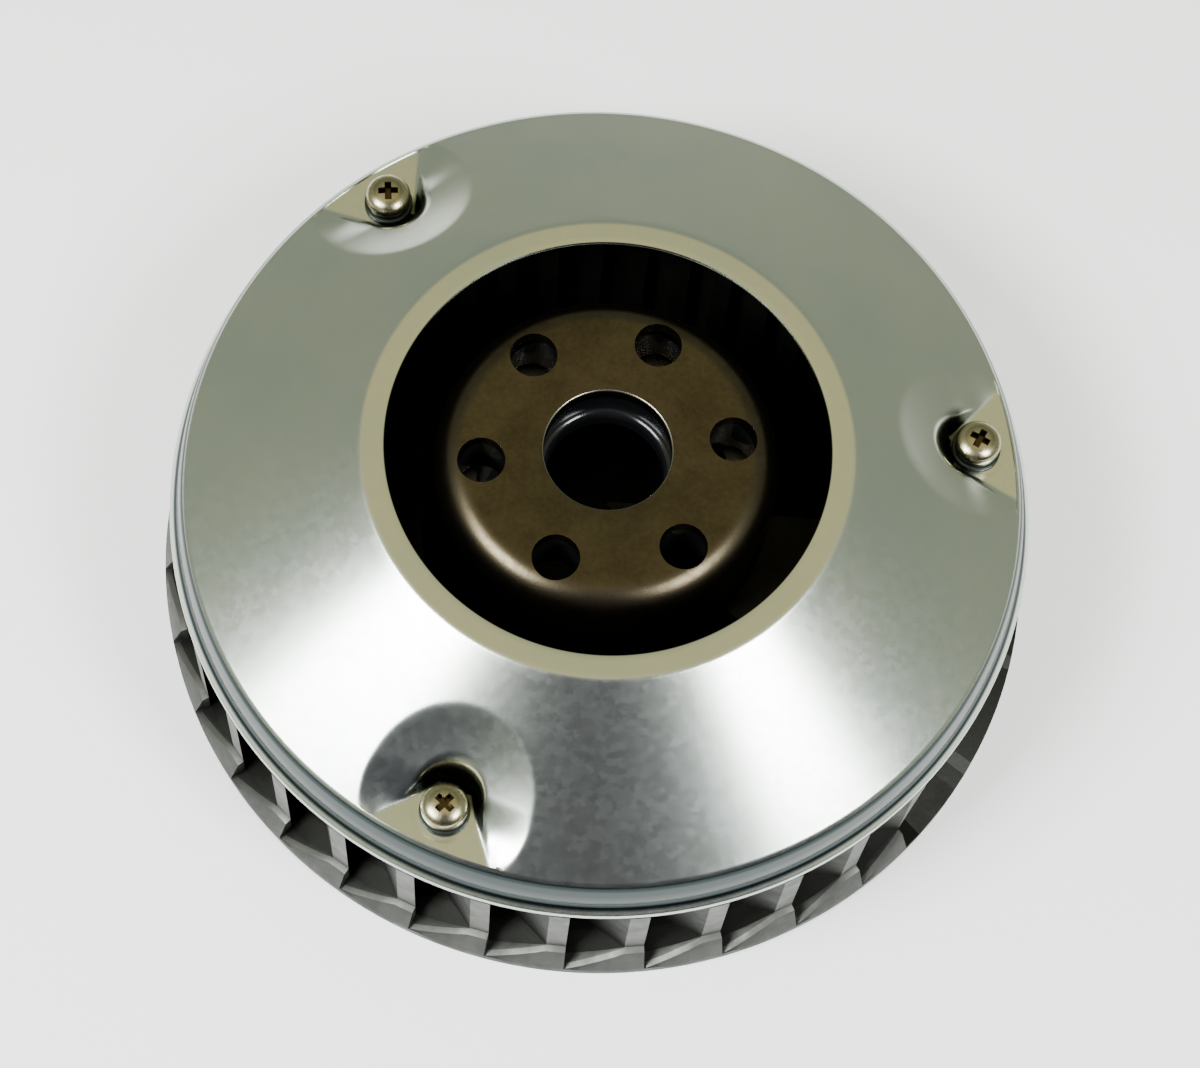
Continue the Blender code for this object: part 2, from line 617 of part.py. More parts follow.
def build_hub(finish):
    """Thick ring clamped between the cup face and the crankshaft flange."""
    top = CUP_TOP - CUP_SHEET - GAP
    low = top - HUB_THICKNESS
    outer = CUP_INNER_RADIUS - 0.5 * MM
    ledge = CUP_TOP - HUB_LEDGE_DEPTH
    wide = PILOT_RADIUS + 0.6 * MM
    nose = wide - HUB_PILOT_RADIUS
    chamfer = 0.5 * MM
    corner = CUP_CORNER - CUP_SHEET + GAP
    profile = [(wide, top), (outer - corner, top), (outer, top - corner), (outer, low + chamfer),
               (outer - chamfer, low), (HUB_PILOT_RADIUS + chamfer, low), (HUB_PILOT_RADIUS, low + chamfer)]
    profile += arc((wide, ledge - nose), nose, 180.0, 90.0, 4)
    hub = turned("crank_hub", profile, finish, ROUND)
    drill(hub, BOLT_HOLE_RADIUS + 0.15 * MM, BOLT_CIRCLE, bolt_angles(), low - 3.0 * MM, top + 3.0 * MM)


def build_magnets(finish, sheet):
    outer = CUP_INNER_RADIUS - GAP
    inner = outer - MAGNET_THICKNESS
    span = 360.0 / MAGNET_COUNT - 6.0
    steps = 6
    for index in range(MAGNET_COUNT):
        middle = 30.0 + index * 360.0 / MAGNET_COUNT
        start = middle - span / 2.0
        bm = bmesh.new()
        rings = []
        for i in range(steps + 1):
            angle = start + span * i / steps
            corners = ((inner, MAGNET_LOW), (outer, MAGNET_LOW), (outer, MAGNET_HIGH), (inner, MAGNET_HIGH))
            rings.append([bm.verts.new(polar(r, angle, z)) for r, z in corners])
        for before, after in zip(rings, rings[1:]):
            for row in range(4):
                bm.faces.new((before[row - 1], before[row], after[row], after[row - 1]))
        bm.faces.new(rings[0])
        bm.faces.new(list(reversed(rings[-1])))
        bmesh.ops.recalc_face_normals(bm, faces=bm.faces)
        place_mesh(f"rotor_magnet_{index + 1}", bm, finish)
    build_cage(sheet, inner - GAP, outer)


def build_cage(finish, sleeve, outer):
    """Thin sleeve with a collar that keeps the magnets in place."""
    collar = MAGNET_HIGH + GAP
    profile = [(sleeve, MAGNET_LOW - 1.0 * MM), (sleeve, collar), (outer, collar),
               (outer, collar + CAGE_SHEET), (sleeve - CAGE_SHEET, collar + CAGE_SHEET),
               (sleeve - CAGE_SHEET, MAGNET_LOW - 1.0 * MM)]
    turned("magnet_cage", profile, finish, 32)


def build_rivets(finish):
    flange_top = PLATE_HUB_HEIGHT + GAP + CUP_FLANGE_SHEET + GAP / 2.0
    under = PLATE_HUB_UNDERSIDE - GAP / 2.0
    for index, angle in enumerate(rivet_angles(), start=1):
        middle = polar(RIVET_CIRCLE, angle, 0.0)
        shoulder, shoulder_height = RIVET_HEAD_RADIUS * 0.8, RIVET_HEAD_HEIGHT * 0.7
        head = [(RIVET_HEAD_RADIUS, flange_top), (shoulder, flange_top + shoulder_height),
                (0.0, flange_top + RIVET_HEAD_HEIGHT)]
        tail = [(0.0, under - RIVET_HEAD_HEIGHT), (shoulder, under - shoulder_height),
                (RIVET_HEAD_RADIUS, under)]
        profile = tail + [(RIVET_SHANK_RADIUS, under), (RIVET_SHANK_RADIUS, flange_top)] + head
        turned(f"cup_rivet_{index}", profile, finish, 12, (middle.x, middle.y))


# ---------------------------------------------------------------- ignition magnet

def build_block(name, across, width, finish):
    """Block in the pocket, `across` along the rim from the pocket's middle."""
    bm = bmesh.new()
    made = bmesh.ops.create_cube(bm, size=1.0)
    low = BLOCK_LIFT
    turn = radians(SECTOR_MIDDLE)
    for vert in made["verts"]:
        flat_x = POCKET_RADIUS + vert.co.x * MAGNET_BLOCK[0]
        flat_y = across + vert.co.y * width
        height = low + (vert.co.z + 0.5) * MAGNET_BLOCK[2]
        vert.co = Vector((flat_x * cos(turn) - flat_y * sin(turn), flat_x * sin(turn) + flat_y * cos(turn),
                          height))
    bmesh.ops.bevel(bm, geom=list(bm.edges), offset=0.5 * MM, segments=1, affect="EDGES")
    bmesh.ops.recalc_face_normals(bm, faces=bm.faces)
    place_mesh(name, bm, finish)


def build_ignition_magnet(magnet, steel):
    step = (MAGNET_BLOCK[1] + SHOE_WIDTH) / 2.0 + GAP
    build_block("ignition_magnet", 0.0, MAGNET_BLOCK[1], magnet)
    build_block("pole_shoe_1", step, SHOE_WIDTH, steel)
    build_block("pole_shoe_2", -step, SHOE_WIDTH, steel)


def main():
    clear_scene()
    zinc = material("zinc_plated_sheet", (0.52, 0.55, 0.50), 0.28, 1.0)
    yellow_zinc = material("zinc_plated_screw", (0.62, 0.58, 0.42), 0.30, 1.0)
    spring = material("spring_steel", (0.10, 0.10, 0.10), 0.45, 0.9)
    casting = material("cast_aluminium", (0.45, 0.45, 0.43), 0.50, 0.9)
    drawn = material("drawn_steel", (0.24, 0.21, 0.15), 0.42, 0.9)
    black = material("black_oxide_steel", (0.02, 0.02, 0.022), 0.20, 0.6)
    ferrite = material("ferrite", (0.05, 0.05, 0.05), 0.70, 0.0)
    core = material("magnet_steel", (0.30, 0.29, 0.27), 0.45, 0.9)
    build_fan(casting)
    build_cover(zinc)
    build_cover_screws(yellow_zinc, spring)
    build_cup(drawn)
    build_hub(black)
    build_magnets(ferrite, core)
    build_rivets(core)
    build_ignition_magnet(ferrite, core)


main()
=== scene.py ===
"""Looks of a cooling-fan flywheel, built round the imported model, which stays as it is.

Every length is in metres. The wheel turns about Z and stands on the rim of its casting.
"""
import logging
from collections.abc import Callable, Sequence
from dataclasses import dataclass, field
from enum import Enum
from math import atan2, cos, degrees, hypot, log, radians, sin, tan

import bpy
from mathutils import Matrix, Vector


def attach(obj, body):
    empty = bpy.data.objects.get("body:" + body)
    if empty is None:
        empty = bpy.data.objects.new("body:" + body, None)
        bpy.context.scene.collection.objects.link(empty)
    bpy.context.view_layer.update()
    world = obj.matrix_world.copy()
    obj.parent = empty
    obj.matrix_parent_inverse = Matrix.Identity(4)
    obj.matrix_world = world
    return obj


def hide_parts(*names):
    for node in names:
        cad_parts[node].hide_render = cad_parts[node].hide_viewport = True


Colour = tuple[float, float, float]
Outline = list[tuple[float, float]]
Piece = bpy.types.Object
Node = bpy.types.Node
Socket = bpy.types.NodeSocket
Tree = bpy.types.NodeTree

MM = 0.001
BODY = "root"
SCREW_ANGLES = (0.0, 120.0, 240.0)

log_book = logging.getLogger("flywheel")
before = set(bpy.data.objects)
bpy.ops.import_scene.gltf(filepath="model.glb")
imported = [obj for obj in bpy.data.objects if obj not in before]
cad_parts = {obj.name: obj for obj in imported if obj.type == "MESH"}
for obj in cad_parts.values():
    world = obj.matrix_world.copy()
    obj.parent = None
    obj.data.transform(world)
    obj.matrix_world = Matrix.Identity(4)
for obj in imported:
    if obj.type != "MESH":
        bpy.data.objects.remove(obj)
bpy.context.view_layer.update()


class Slot(Enum):
    """Material slots of the record."""

    COVER = "cover_sheet"
    CASTING = "fan_casting"
    SCREW = "screw_steel"
    SPRING = "spring_steel"
    CUP = "cup_steel"
    HUB = "hub_steel"
    MAGNET = "magnet"
    MAGNET_STEEL = "magnet_steel"


# ------------------------------------------------------------------ small geometry

def polar(radius: float, angle: float, height: float) -> Vector:
    """Point at a radius and an angle in degrees."""
    return Vector((radius * cos(radians(angle)), radius * sin(radians(angle)), height))


def arc(centre: tuple[float, float], radius: float, start: float, end: float, steps: int) -> Outline:
    """Points of an arc in the (radius, height) plane.

    Args:
        centre: middle of the arc.
        radius: radius of the arc.
        start: first angle, in degrees.
        end: last angle, in degrees.
        steps: number of pieces the arc is cut into.

    Returns:
        The arc's points, both ends included.
    """
    turns = [radians(start + (end - start) * i / steps) for i in range(steps + 1)]
    return [(centre[0] + radius * cos(a), centre[1] + radius * sin(a)) for a in turns]


def spread(start: float, end: float, steps: int) -> list[float]:
    """Evenly spaced values from start to end, both included."""
    return [start + (end - start) * i / steps for i in range(steps + 1)]


def ease(value: float) -> float:
    """Smooth step from 0 to 1."""
    held = min(max(value, 0.0), 1.0)
    return held * held * (3.0 - 2.0 * held)


def offset(path: Outline, distance: float) -> Outline:
    """Path moved sideways, towards the inside of a bent sheet.

    Args:
        path: points of the sheet's outer side, from the middle outwards.
        distance: thickness of the sheet.

    Returns:
        As many points, on the sheet's inner side.
    """
    moved = []
    for index, (radius, height) in enumerate(path):
        before = path[max(index - 1, 0)]
        after = path[min(index + 1, len(path) - 1)]
        run = hypot(after[0] - before[0], after[1] - before[1])
        across = ((before[1] - after[1]) / run, (after[0] - before[0]) / run)
        moved.append((radius - across[0] * distance, height - across[1] * distance))
    return moved


# ------------------------------------------------------------------ modelling steps

def start_fresh() -> None:
    """Leave edit mode and deselect everything."""
    if bpy.context.mode != "OBJECT":
        bpy.ops.object.mode_set(mode="OBJECT")
    bpy.ops.object.select_all(action="DESELECT")


def take(piece: Piece) -> None:
    """Make a piece the only selected and the active one."""
    start_fresh()
    piece.select_set(True)
    bpy.context.view_layer.objects.active = piece


def edit_all(piece: Piece) -> None:
    """Enter edit mode on a piece with all of it selected."""
    take(piece)
    bpy.ops.object.mode_set(mode="EDIT")
    bpy.ops.mesh.select_all(action="SELECT")


def name_it(name: str) -> Piece:
    """Name the active object and its mesh, and settle its place in its mesh."""
    piece = bpy.context.view_layer.objects.active
    piece.name = name
    piece.data.name = name
    bpy.ops.object.transform_apply(location=True, rotation=True, scale=True)
    return piece


def close_up(piece: Piece, distance: float = 0.002 * MM) -> None:
    """Merge points that lie together and turn all faces outwards."""
    edit_all(piece)
    bpy.ops.mesh.remove_doubles(threshold=distance)
    bpy.ops.mesh.dissolve_degenerate(threshold=distance)
    bpy.ops.mesh.select_all(action="SELECT")
    bpy.ops.mesh.normals_make_consistent(inside=False)
    bpy.ops.object.mode_set(mode="OBJECT")


def smooth(piece: Piece, crease: float = 32.0) -> None:
    """Shade smooth, with edges sharper than a crease angle in degrees kept hard."""
    take(piece)
    bpy.ops.object.shade_smooth_by_angle(angle=radians(crease))


def draw_outline(name: str, outline: Outline) -> Piece:
    """Draw a chain of edges in the XZ plane by extruding one point.

    Args:
        name: name of the new piece.
        outline: points of the chain, as radius and height.

    Returns:
        The new piece.
    """
    start_fresh()
    radius, height = outline[0]
    bpy.ops.mesh.primitive_plane_add(size=MM, location=(radius, 0.0, height))
    piece = name_it(name)
    bpy.ops.object.mode_set(mode="EDIT")
    bpy.ops.mesh.select_all(action="SELECT")
    bpy.ops.mesh.merge(type="CENTER")
    for (r1, z1), (r2, z2) in zip(outline, outline[1:]):
        bpy.ops.mesh.extrude_region_move(TRANSFORM_OT_translate={"value": (r2 - r1, 0.0, z2 - z1)})
    bpy.ops.object.mode_set(mode="OBJECT")
    return piece


def turn(name: str, outline: Outline, steps: int = 96, sweep: float = 360.0) -> Piece:
    """Spin an outline about the axis.

    Args:
        name: name of the new piece.
        outline: closed outline, or an open one with both ends on the axis.
        steps: number of steps of the spin.
        sweep: angle of the spin in degrees; below 360 the ends are filled.

    Returns:
        The new closed piece.
    """
    touches_axis = outline[0][0] == 0.0
    chain = outline if touches_axis else outline + outline[:1]
    piece = draw_outline(name, chain)
    edit_all(piece)
    if sweep < 360.0:
        bpy.ops.mesh.remove_doubles(threshold=0.002 * MM)
        bpy.ops.mesh.edge_face_add()
    bpy.ops.mesh.spin(steps=steps, angle=radians(sweep), center=(0.0, 0.0, 0.0), axis=(0.0, 0.0, 1.0))
    bpy.ops.object.mode_set(mode="OBJECT")
    close_up(piece)
    return piece


def ring_grid(name: str, columns: int, rows: int, place: Callable[[int, int], Vector]) -> Piece:
    """Wrap a flat grid into a closed ring whose points follow a rule.

    Args:
        name: name of the new piece.
        columns: number of stations round the axis.
        rows: number of points round the section.
        place: gives the point of a column and a row.

    Returns:
        The new closed piece.
    """
    start_fresh()
    bpy.ops.mesh.primitive_grid_add(x_subdivisions=columns, y_subdivisions=rows, size=200 * MM)
    piece = name_it(name)
    for vertex in piece.data.vertices:
        row, column = divmod(vertex.index, columns + 1)
        vertex.co = place(column % columns, row % rows)
    close_up(piece)
    return piece


def copy_of(piece: Piece, name: str, angle: float) -> Piece:
    """Copy a piece with its own mesh, turned about the axis.

    Args:
        piece: the piece to copy.
        name: name of the copy.
        angle: turn about the axis, in degrees.

    Returns:
        The copy, its turn settled in its mesh.
    """
    take(piece)
    bpy.ops.object.duplicate(linked=False)
    bpy.context.view_layer.objects.active.matrix_world = Matrix.Rotation(radians(angle), 4, "Z")
    return name_it(name)


def shift(piece: Piece, move: Vector) -> None:
    """Move a piece and settle the move in its mesh."""
    take(piece)
    bpy.ops.transform.translate(value=move)
    bpy.ops.object.transform_apply(location=True, rotation=True, scale=True)


def join(pieces: Sequence[Piece]) -> Piece:
    """Join pieces into the first one."""
    take(pieces[0])
    for piece in pieces[1:]:
        piece.select_set(True)
    bpy.ops.object.join()
    return pieces[0]


def cylinder(radius: float, low: float, high: float, middle: Vector, sides: int = 48) -> Piece:
    """Add an upright cylinder as a tool or a boss."""
    start_fresh()
    bpy.ops.mesh.primitive_cylinder_add(vertices=sides, radius=radius, depth=high - low,
                                        location=(middle.x, middle.y, (low + high) / 2.0))
    return name_it("round_tool")


def cut(piece: Piece, tool: Piece, own_overlaps: bool = False) -> None:
    """Cut a tool's shape out of a piece and remove the tool."""
    take(piece)
    step = piece.modifiers.new("cut", "BOOLEAN")
    step.operation = "DIFFERENCE"
    step.solver = "EXACT"
    step.use_self = own_overlaps
    step.object = tool
    bpy.ops.object.modifier_apply(modifier=step.name)
    bpy.data.objects.remove(tool, do_unlink=True)


def drill(piece: Piece, radius: float, circle: float, angles: Sequence[float],
          low: float, high: float) -> None:
    """Drill upright holes on a circle.

    Args:
        piece: the piece to drill.
        radius: radius of the holes.
        circle: radius of the circle they lie on.
        angles: their angles, in degrees.
        low: height where the drill stops.
        high: height where it starts.
    """
    tools = [cylinder(radius, low, high, polar(circle, angle, 0.0)) for angle in angles]
    cut(piece, join(tools))


def soften(piece: Piece, width: float, steps: int = 2, angle: float = 40.0) -> None:
    """Round the edges of a piece that are sharper than an angle in degrees."""
    take(piece)
    edge = piece.modifiers.new("edge", "BEVEL")
    edge.width = width
    edge.segments = steps
    edge.limit_method = "ANGLE"
    edge.angle_limit = radians(angle)
    edge.use_clamp_overlap = True
    edge.harden_normals = True
    bpy.ops.object.modifier_apply(modifier=edge.name)


# ------------------------------------------------------------------ finishes

class Sheet:
    """Node tree of one material, with short calls for what the finishes need."""

    def __init__(self, tree: Tree) -> None:
        """Keep the tree that nodes are added to."""
        self.tree = tree

    def add(self, kind: str, **values: object) -> Node:
        """Add a node and set its properties."""
        node = self.tree.nodes.new(kind)
        for key, value in values.items():
            setattr(node, key, value)
        return node

    def put(self, node: Node, socket: str | int, value: object) -> None:
        """Link an output to a socket, or set the socket's own value."""
        if isinstance(value, Socket):
            self.tree.links.new(value, node.inputs[socket])
        else:
            node.inputs[socket].default_value = value

    def math(self, operation: str, first: object, second: object = 0.0,
             third: object = 0.0) -> Socket:
        """Result of a Math node."""
        node = self.add("ShaderNodeMath", operation=operation)
        for index, value in enumerate((first, second, third)):
            self.put(node, index, value)
        return node.outputs[0]

    def step(self, value: object, low: float, high: float) -> Socket:
        """Smooth step of a value from 0 at low to 1 at high."""
        node = self.add("ShaderNodeMapRange", interpolation_type="SMOOTHSTEP")
        self.put(node, "Value", value)
        self.put(node, "From Min", low)
        self.put(node, "From Max", high)
        return node.outputs["Result"]

    def scale(self, value: object, low: float, high: float) -> Socket:
        """Value from 0 to 1 stretched to run from low to high."""
        node = self.add("ShaderNodeMapRange")
        self.put(node, "Value", value)
        self.put(node, "To Min", low)
        self.put(node, "To Max", high)
        return node.outputs["Result"]

    def mix(self, share: object, first: object, second: object) -> Socket:
        """Mix of two colours."""
        node = self.add("ShaderNodeMix", data_type="RGBA")
        self.put(node, 0, share)
        self.put(node, 6, first)
        self.put(node, 7, second)
        return node.outputs[2]

    def noise(self, where: object, scale: object, detail: float = 3.0, rough: float = 0.5) -> Socket:
        """Noise value at a place."""
        node = self.add("ShaderNodeTexNoise")
        self.put(node, "Vector", where)
        self.put(node, "Scale", scale)
        self.put(node, "Detail", detail)
        self.put(node, "Roughness", rough)
        return node.outputs["Fac"]


def new_group(name: str, inputs: dict[str, str], outputs: dict[str, str]) -> tuple[Sheet, Node, Node]:
    """Start a shader node group.

    Args:
        name: name of the group.
        inputs: socket names and their types.
        outputs: socket names and their types.

    Returns:
        The group's sheet, its input node and its output node.
    """
    group = bpy.data.node_groups.new(name, "ShaderNodeTree")
    for label, kind in inputs.items():
        group.interface.new_socket(label, in_out="INPUT", socket_type=kind)
    for label, kind in outputs.items():
        group.interface.new_socket(label, in_out="OUTPUT", socket_type=kind)
    sheet = Sheet(group)
    return sheet, sheet.add("NodeGroupInput"), sheet.add("NodeGroupOutput")


def mottle_group() -> Tree:
    """Soft blotches: a mask from 0 to 1 with a contrast that can be set."""
    sheet, source, result = new_group("mottle", {"Vector": "NodeSocketVector", "Scale": "NodeSocketFloat",
                                                 "Contrast": "NodeSocketFloat"}, {"Mask": "NodeSocketFloat"})
    value = sheet.noise(source.outputs["Vector"], source.outputs["Scale"], 5.0, 0.6)
    away = sheet.math("MULTIPLY", sheet.math("SUBTRACT", value, 0.5), source.outputs["Contrast"])
    clipped = sheet.add("ShaderNodeClamp")
    sheet.put(clipped, "Value", sheet.math("ADD", away, 0.5))
    sheet.put(result, "Mask", clipped.outputs[0])
    return sheet.tree


def crystal_group() -> Tree:
    """Crystals of a zinc coat: a value for each crystal and a height that tilts it."""
    sheet, source, result = new_group("crystals", {"Vector": "NodeSocketVector", "Scale": "NodeSocketFloat"},
                                      {"Mask": "NodeSocketFloat", "Height": "NodeSocketFloat"})
    warp = sheet.add("ShaderNodeTexNoise")
    sheet.put(warp, "Vector", source.outputs["Vector"])
    sheet.put(warp, "Scale", sheet.math("MULTIPLY", source.outputs["Scale"], 1.7))
    moved = sheet.add("ShaderNodeVectorMath", operation="MULTIPLY_ADD")
    sheet.put(moved, 0, warp.outputs["Color"])
    sheet.put(moved, 1, (2.2 * MM, 2.2 * MM, 2.2 * MM))
    sheet.put(moved, 2, source.outputs["Vector"])
    cells = sheet.add("ShaderNodeTexVoronoi", feature="SMOOTH_F1")
    sheet.put(cells, "Vector", moved.outputs[0])
    sheet.put(cells, "Scale", source.outputs["Scale"])
    sheet.put(cells, "Smoothness", 0.5)
    tone = sheet.add("ShaderNodeSeparateColor")
    sheet.put(tone, 0, cells.outputs["Color"])
    fine = sheet.noise(source.outputs["Vector"], sheet.math("MULTIPLY", source.outputs["Scale"], 5.0), 3.0)
    for label, channel, share in (("Mask", 0, 0.6), ("Height", 1, 0.7)):
        rest = sheet.math("MULTIPLY", fine, 1.0 - share)
        sheet.put(result, label, sheet.math("MULTIPLY_ADD", tone.outputs[channel], share, rest))
    return sheet.tree


def reach_group() -> Tree:
    """Mask that grows from 0 at an inner radius about the axis to 1 at an outer one."""
    sheet, source, result = new_group("reach", {"Vector": "NodeSocketVector", "Inner": "NodeSocketFloat",
                                                "Outer": "NodeSocketFloat"}, {"Mask": "NodeSocketFloat"})
    parts = sheet.add("ShaderNodeSeparateXYZ")
    sheet.put(parts, 0, source.outputs["Vector"])
    square = sheet.math("MULTIPLY_ADD", parts.outputs[0], parts.outputs[0],
                        sheet.math("MULTIPLY", parts.outputs[1], parts.outputs[1]))
    node = sheet.add("ShaderNodeMapRange", interpolation_type="SMOOTHSTEP")
    sheet.put(node, "Value", sheet.math("SQRT", square))
    sheet.put(node, "From Min", source.outputs["Inner"])
    sheet.put(node, "From Max", source.outputs["Outer"])
    sheet.put(result, "Mask", node.outputs["Result"])
    return sheet.tree


class Effects:
    """The node groups that the finishes share, each built once."""

    def __init__(self) -> None:
        """Build the groups."""
        self.mottle = mottle_group()
        self.crystals = crystal_group()
        self.reach = reach_group()

    @staticmethod
    def use(sheet: Sheet, group: Tree, **values: object) -> Node:
        """Place a group in a material with its own values."""
        node = sheet.add("ShaderNodeGroup", node_tree=group)
        for key, value in values.items():
            sheet.put(node, key, value)
        return node


@dataclass(frozen=True)
class Finish:
    """A plain metal or ceramic surface with blotches and a fine grain.

    Scales are per metre, and the grain's depth is in metres.
    """

    name: str
    colour: Colour
    stain: Colour
    metallic: float = 1.0
    roughness: float = 0.4
    spread: float = 0.15
    blotch_scale: float = 120.0
    contrast: float = 2.2
    grain_scale: float = 1500.0
    grain_depth: float = 0.02 * MM
    coat: float = 0.0

    def make(self, effects: Effects, centre: Vector = Vector()) -> bpy.types.Material:
        """Build the material.

        Args:
            effects: the shared node groups.
            centre: middle of the piece, which the pattern is centred on.

        Returns:
            The finished material.
        """
        made = bpy.data.materials.new(self.name)
        made.use_nodes = True
        made.diffuse_color = (*self.colour, 1.0)
        sheet = Sheet(made.node_tree)
        shader = made.node_tree.nodes["Principled BSDF"]
        sheet.put(shader, "Metallic", self.metallic)
        sheet.put(shader, "Coat Weight", self.coat)
        place = sheet.add("ShaderNodeMapping")
        sheet.put(place, "Vector", sheet.add("ShaderNodeTexCoord").outputs["Object"])
        sheet.put(place, "Location", -centre)
        self.dress(sheet, shader, place.outputs[0], effects)
        return made

    def dress(self, sheet: Sheet, shader: Node, where: Socket, effects: Effects) -> None:
        """Feed the shader's colour, roughness and normal."""
        blotch = self.blotches(sheet, where, effects)
        sheet.put(shader, "Base Color", self.body(sheet, blotch))
        self.roughen(sheet, shader, blotch)
        self.grain(sheet, shader, sheet.noise(where, self.grain_scale, 4.0), self.grain_depth)

    def blotches(self, sheet: Sheet, where: Socket, effects: Effects, finer: float = 1.0) -> Socket:
        """Mask of the blotches, or of finer ones."""
        return effects.use(sheet, effects.mottle, Vector=where, Scale=self.blotch_scale * finer,
                           Contrast=self.contrast).outputs["Mask"]

    def body(self, sheet: Sheet, mask: Socket) -> Socket:
        """Mix of the finish's two colours."""
        return sheet.mix(mask, (*self.colour, 1.0), (*self.stain, 1.0))

    def roughen(self, sheet: Sheet, shader: Node, mask: Socket) -> None:
        """Feed the roughness, which grows with a mask."""
        sheet.put(shader, "Roughness", sheet.scale(mask, self.roughness, self.roughness + self.spread))

    def grain(self, sheet: Sheet, shader: Node, height: Socket, depth: float) -> None:
        """Bump the surface by a height from 0 to 1 times a depth."""
        bump = sheet.add("ShaderNodeBump")
        sheet.put(bump, "Strength", 1.0)
        sheet.put(bump, "Distance", depth)
        sheet.put(bump, "Height", height)
        sheet.put(shader, "Normal", bump.outputs[0])


@dataclass(frozen=True)
class ZincSheet(Finish):
    """Bright zinc plate with faint crystals, with painted shade on the skirt's wall, on the inlet's inner
    edge and on the walls of its pockets.
    """

    crystal_scale: float = 640.0
    crystal_depth: float = 0.002 * MM
    cast: Colour = (0.44, 0.45, 0.50)
    shade: Colour = (0.030, 0.040, 0.042)
    # Painted shade colour of the inlet's inner edge and of the pocket walls round the screws.
    hollow_shade: Colour = (0.060, 0.068, 0.050)
    inlet_radius: float = 44.9 * MM
    pocket_circle: float = 78.0 * MM
    pocket_low: float = 4.2 * MM
    pocket_high: float = 9.6 * MM
    skirt_radius: float = 86.4 * MM
    skirt_low: float = 32.9 * MM
    skirt_high: float = 42.75 * MM
    lip_radius: float = 89.1 * MM

    def dress(self, sheet: Sheet, shader: Node, where: Socket, effects: Effects) -> None:
        """Add the crystals and the painted shade to the plain finish."""
        crystals = effects.use(sheet, effects.crystals, Vector=where, Scale=self.crystal_scale)
        blotch = self.blotches(sheet, where, effects)
        plain = self.body(sheet, blotch)
        tinted = sheet.mix(sheet.scale(crystals.outputs["Mask"], 0.0, 0.34), plain, (*self.cast, 1.0))
        # Painted shade: the skirt's wall is darkened to the shade colour.
        skirt_shaded = sheet.mix(self.skirt(sheet, where, effects), tinted, (*self.shade, 1.0))
        # Painted shade on the inlet's inner edge and on the pocket walls.
        inner = effects.use(sheet, effects.reach, Vector=where, Inner=self.inlet_radius + 0.3 * MM,
                            Outer=self.inlet_radius + 0.1 * MM).outputs["Mask"]
        shaded_hollows = sheet.math("MAXIMUM", inner, self.pockets(sheet, where))
        sheet.put(shader, "Base Color", sheet.mix(shaded_hollows, skirt_shaded, (*self.hollow_shade, 1.0)))
        self.roughen(sheet, shader, crystals.outputs["Mask"])
        self.grain(sheet, shader, crystals.outputs["Height"], self.crystal_depth)

    def skirt(self, sheet: Sheet, where: Socket, effects: Effects) -> Socket:
        """Mask of the painted shade on the skirt's wall, between its corner and its lip."""
        far = effects.use(sheet, effects.reach, Vector=where, Inner=self.skirt_radius - 0.2 * MM,
                          Outer=self.skirt_radius + 0.2 * MM).outputs["Mask"]
        parts = sheet.add("ShaderNodeSeparateXYZ")
        sheet.put(parts, 0, where)
        above = sheet.step(parts.outputs[2], self.skirt_low, self.skirt_low + 0.5 * MM)
        below = sheet.step(parts.outputs[2], self.skirt_high + 0.3 * MM, self.skirt_high - 0.3 * MM)
        near = effects.use(sheet, effects.reach, Vector=where, Inner=self.lip_radius + 0.3 * MM,
                           Outer=self.lip_radius - 0.3 * MM).outputs["Mask"]
        return sheet.math("MULTIPLY", sheet.math("MULTIPLY", far, near), sheet.math("MULTIPLY", above, below))

    def pockets(self, sheet: Sheet, where: Socket) -> Socket:
        """Mask of the painted shade on the steep walls round the screws, on their side towards the axis."""
        masks = []
        for angle in SCREW_ANGLES:
            apart = sheet.add("ShaderNodeVectorMath", operation="SUBTRACT")
            sheet.put(apart, 0, where)
            sheet.put(apart, 1, polar(self.pocket_circle, angle, 0.0))
            flat = sheet.add("ShaderNodeVectorMath", operation="MULTIPLY")
            sheet.put(flat, 0, apart.outputs[0])
            sheet.put(flat, 1, (1.0, 1.0, 0.0))
            length = sheet.add("ShaderNodeVectorMath", operation="LENGTH")
            sheet.put(length, 0, flat.outputs[0])
            inward = sheet.add("ShaderNodeVectorMath", operation="DOT_PRODUCT")
            sheet.put(inward, 0, flat.outputs[0])
            sheet.put(inward, 1, polar(-1.0, angle, 0.0))
            away = length.outputs["Value"]
            ring = sheet.math("MULTIPLY", sheet.step(away, self.pocket_low, self.pocket_low + 0.5 * MM),
                              sheet.step(away, self.pocket_high, self.pocket_high - 2.2 * MM))
            side = sheet.step(inward.outputs["Value"], 0.5 * MM, 3.5 * MM)
            masks.append(sheet.math("MULTIPLY", ring, side))
        return sheet.math("MAXIMUM", masks[0], sheet.math("MAXIMUM", masks[1], masks[2]))


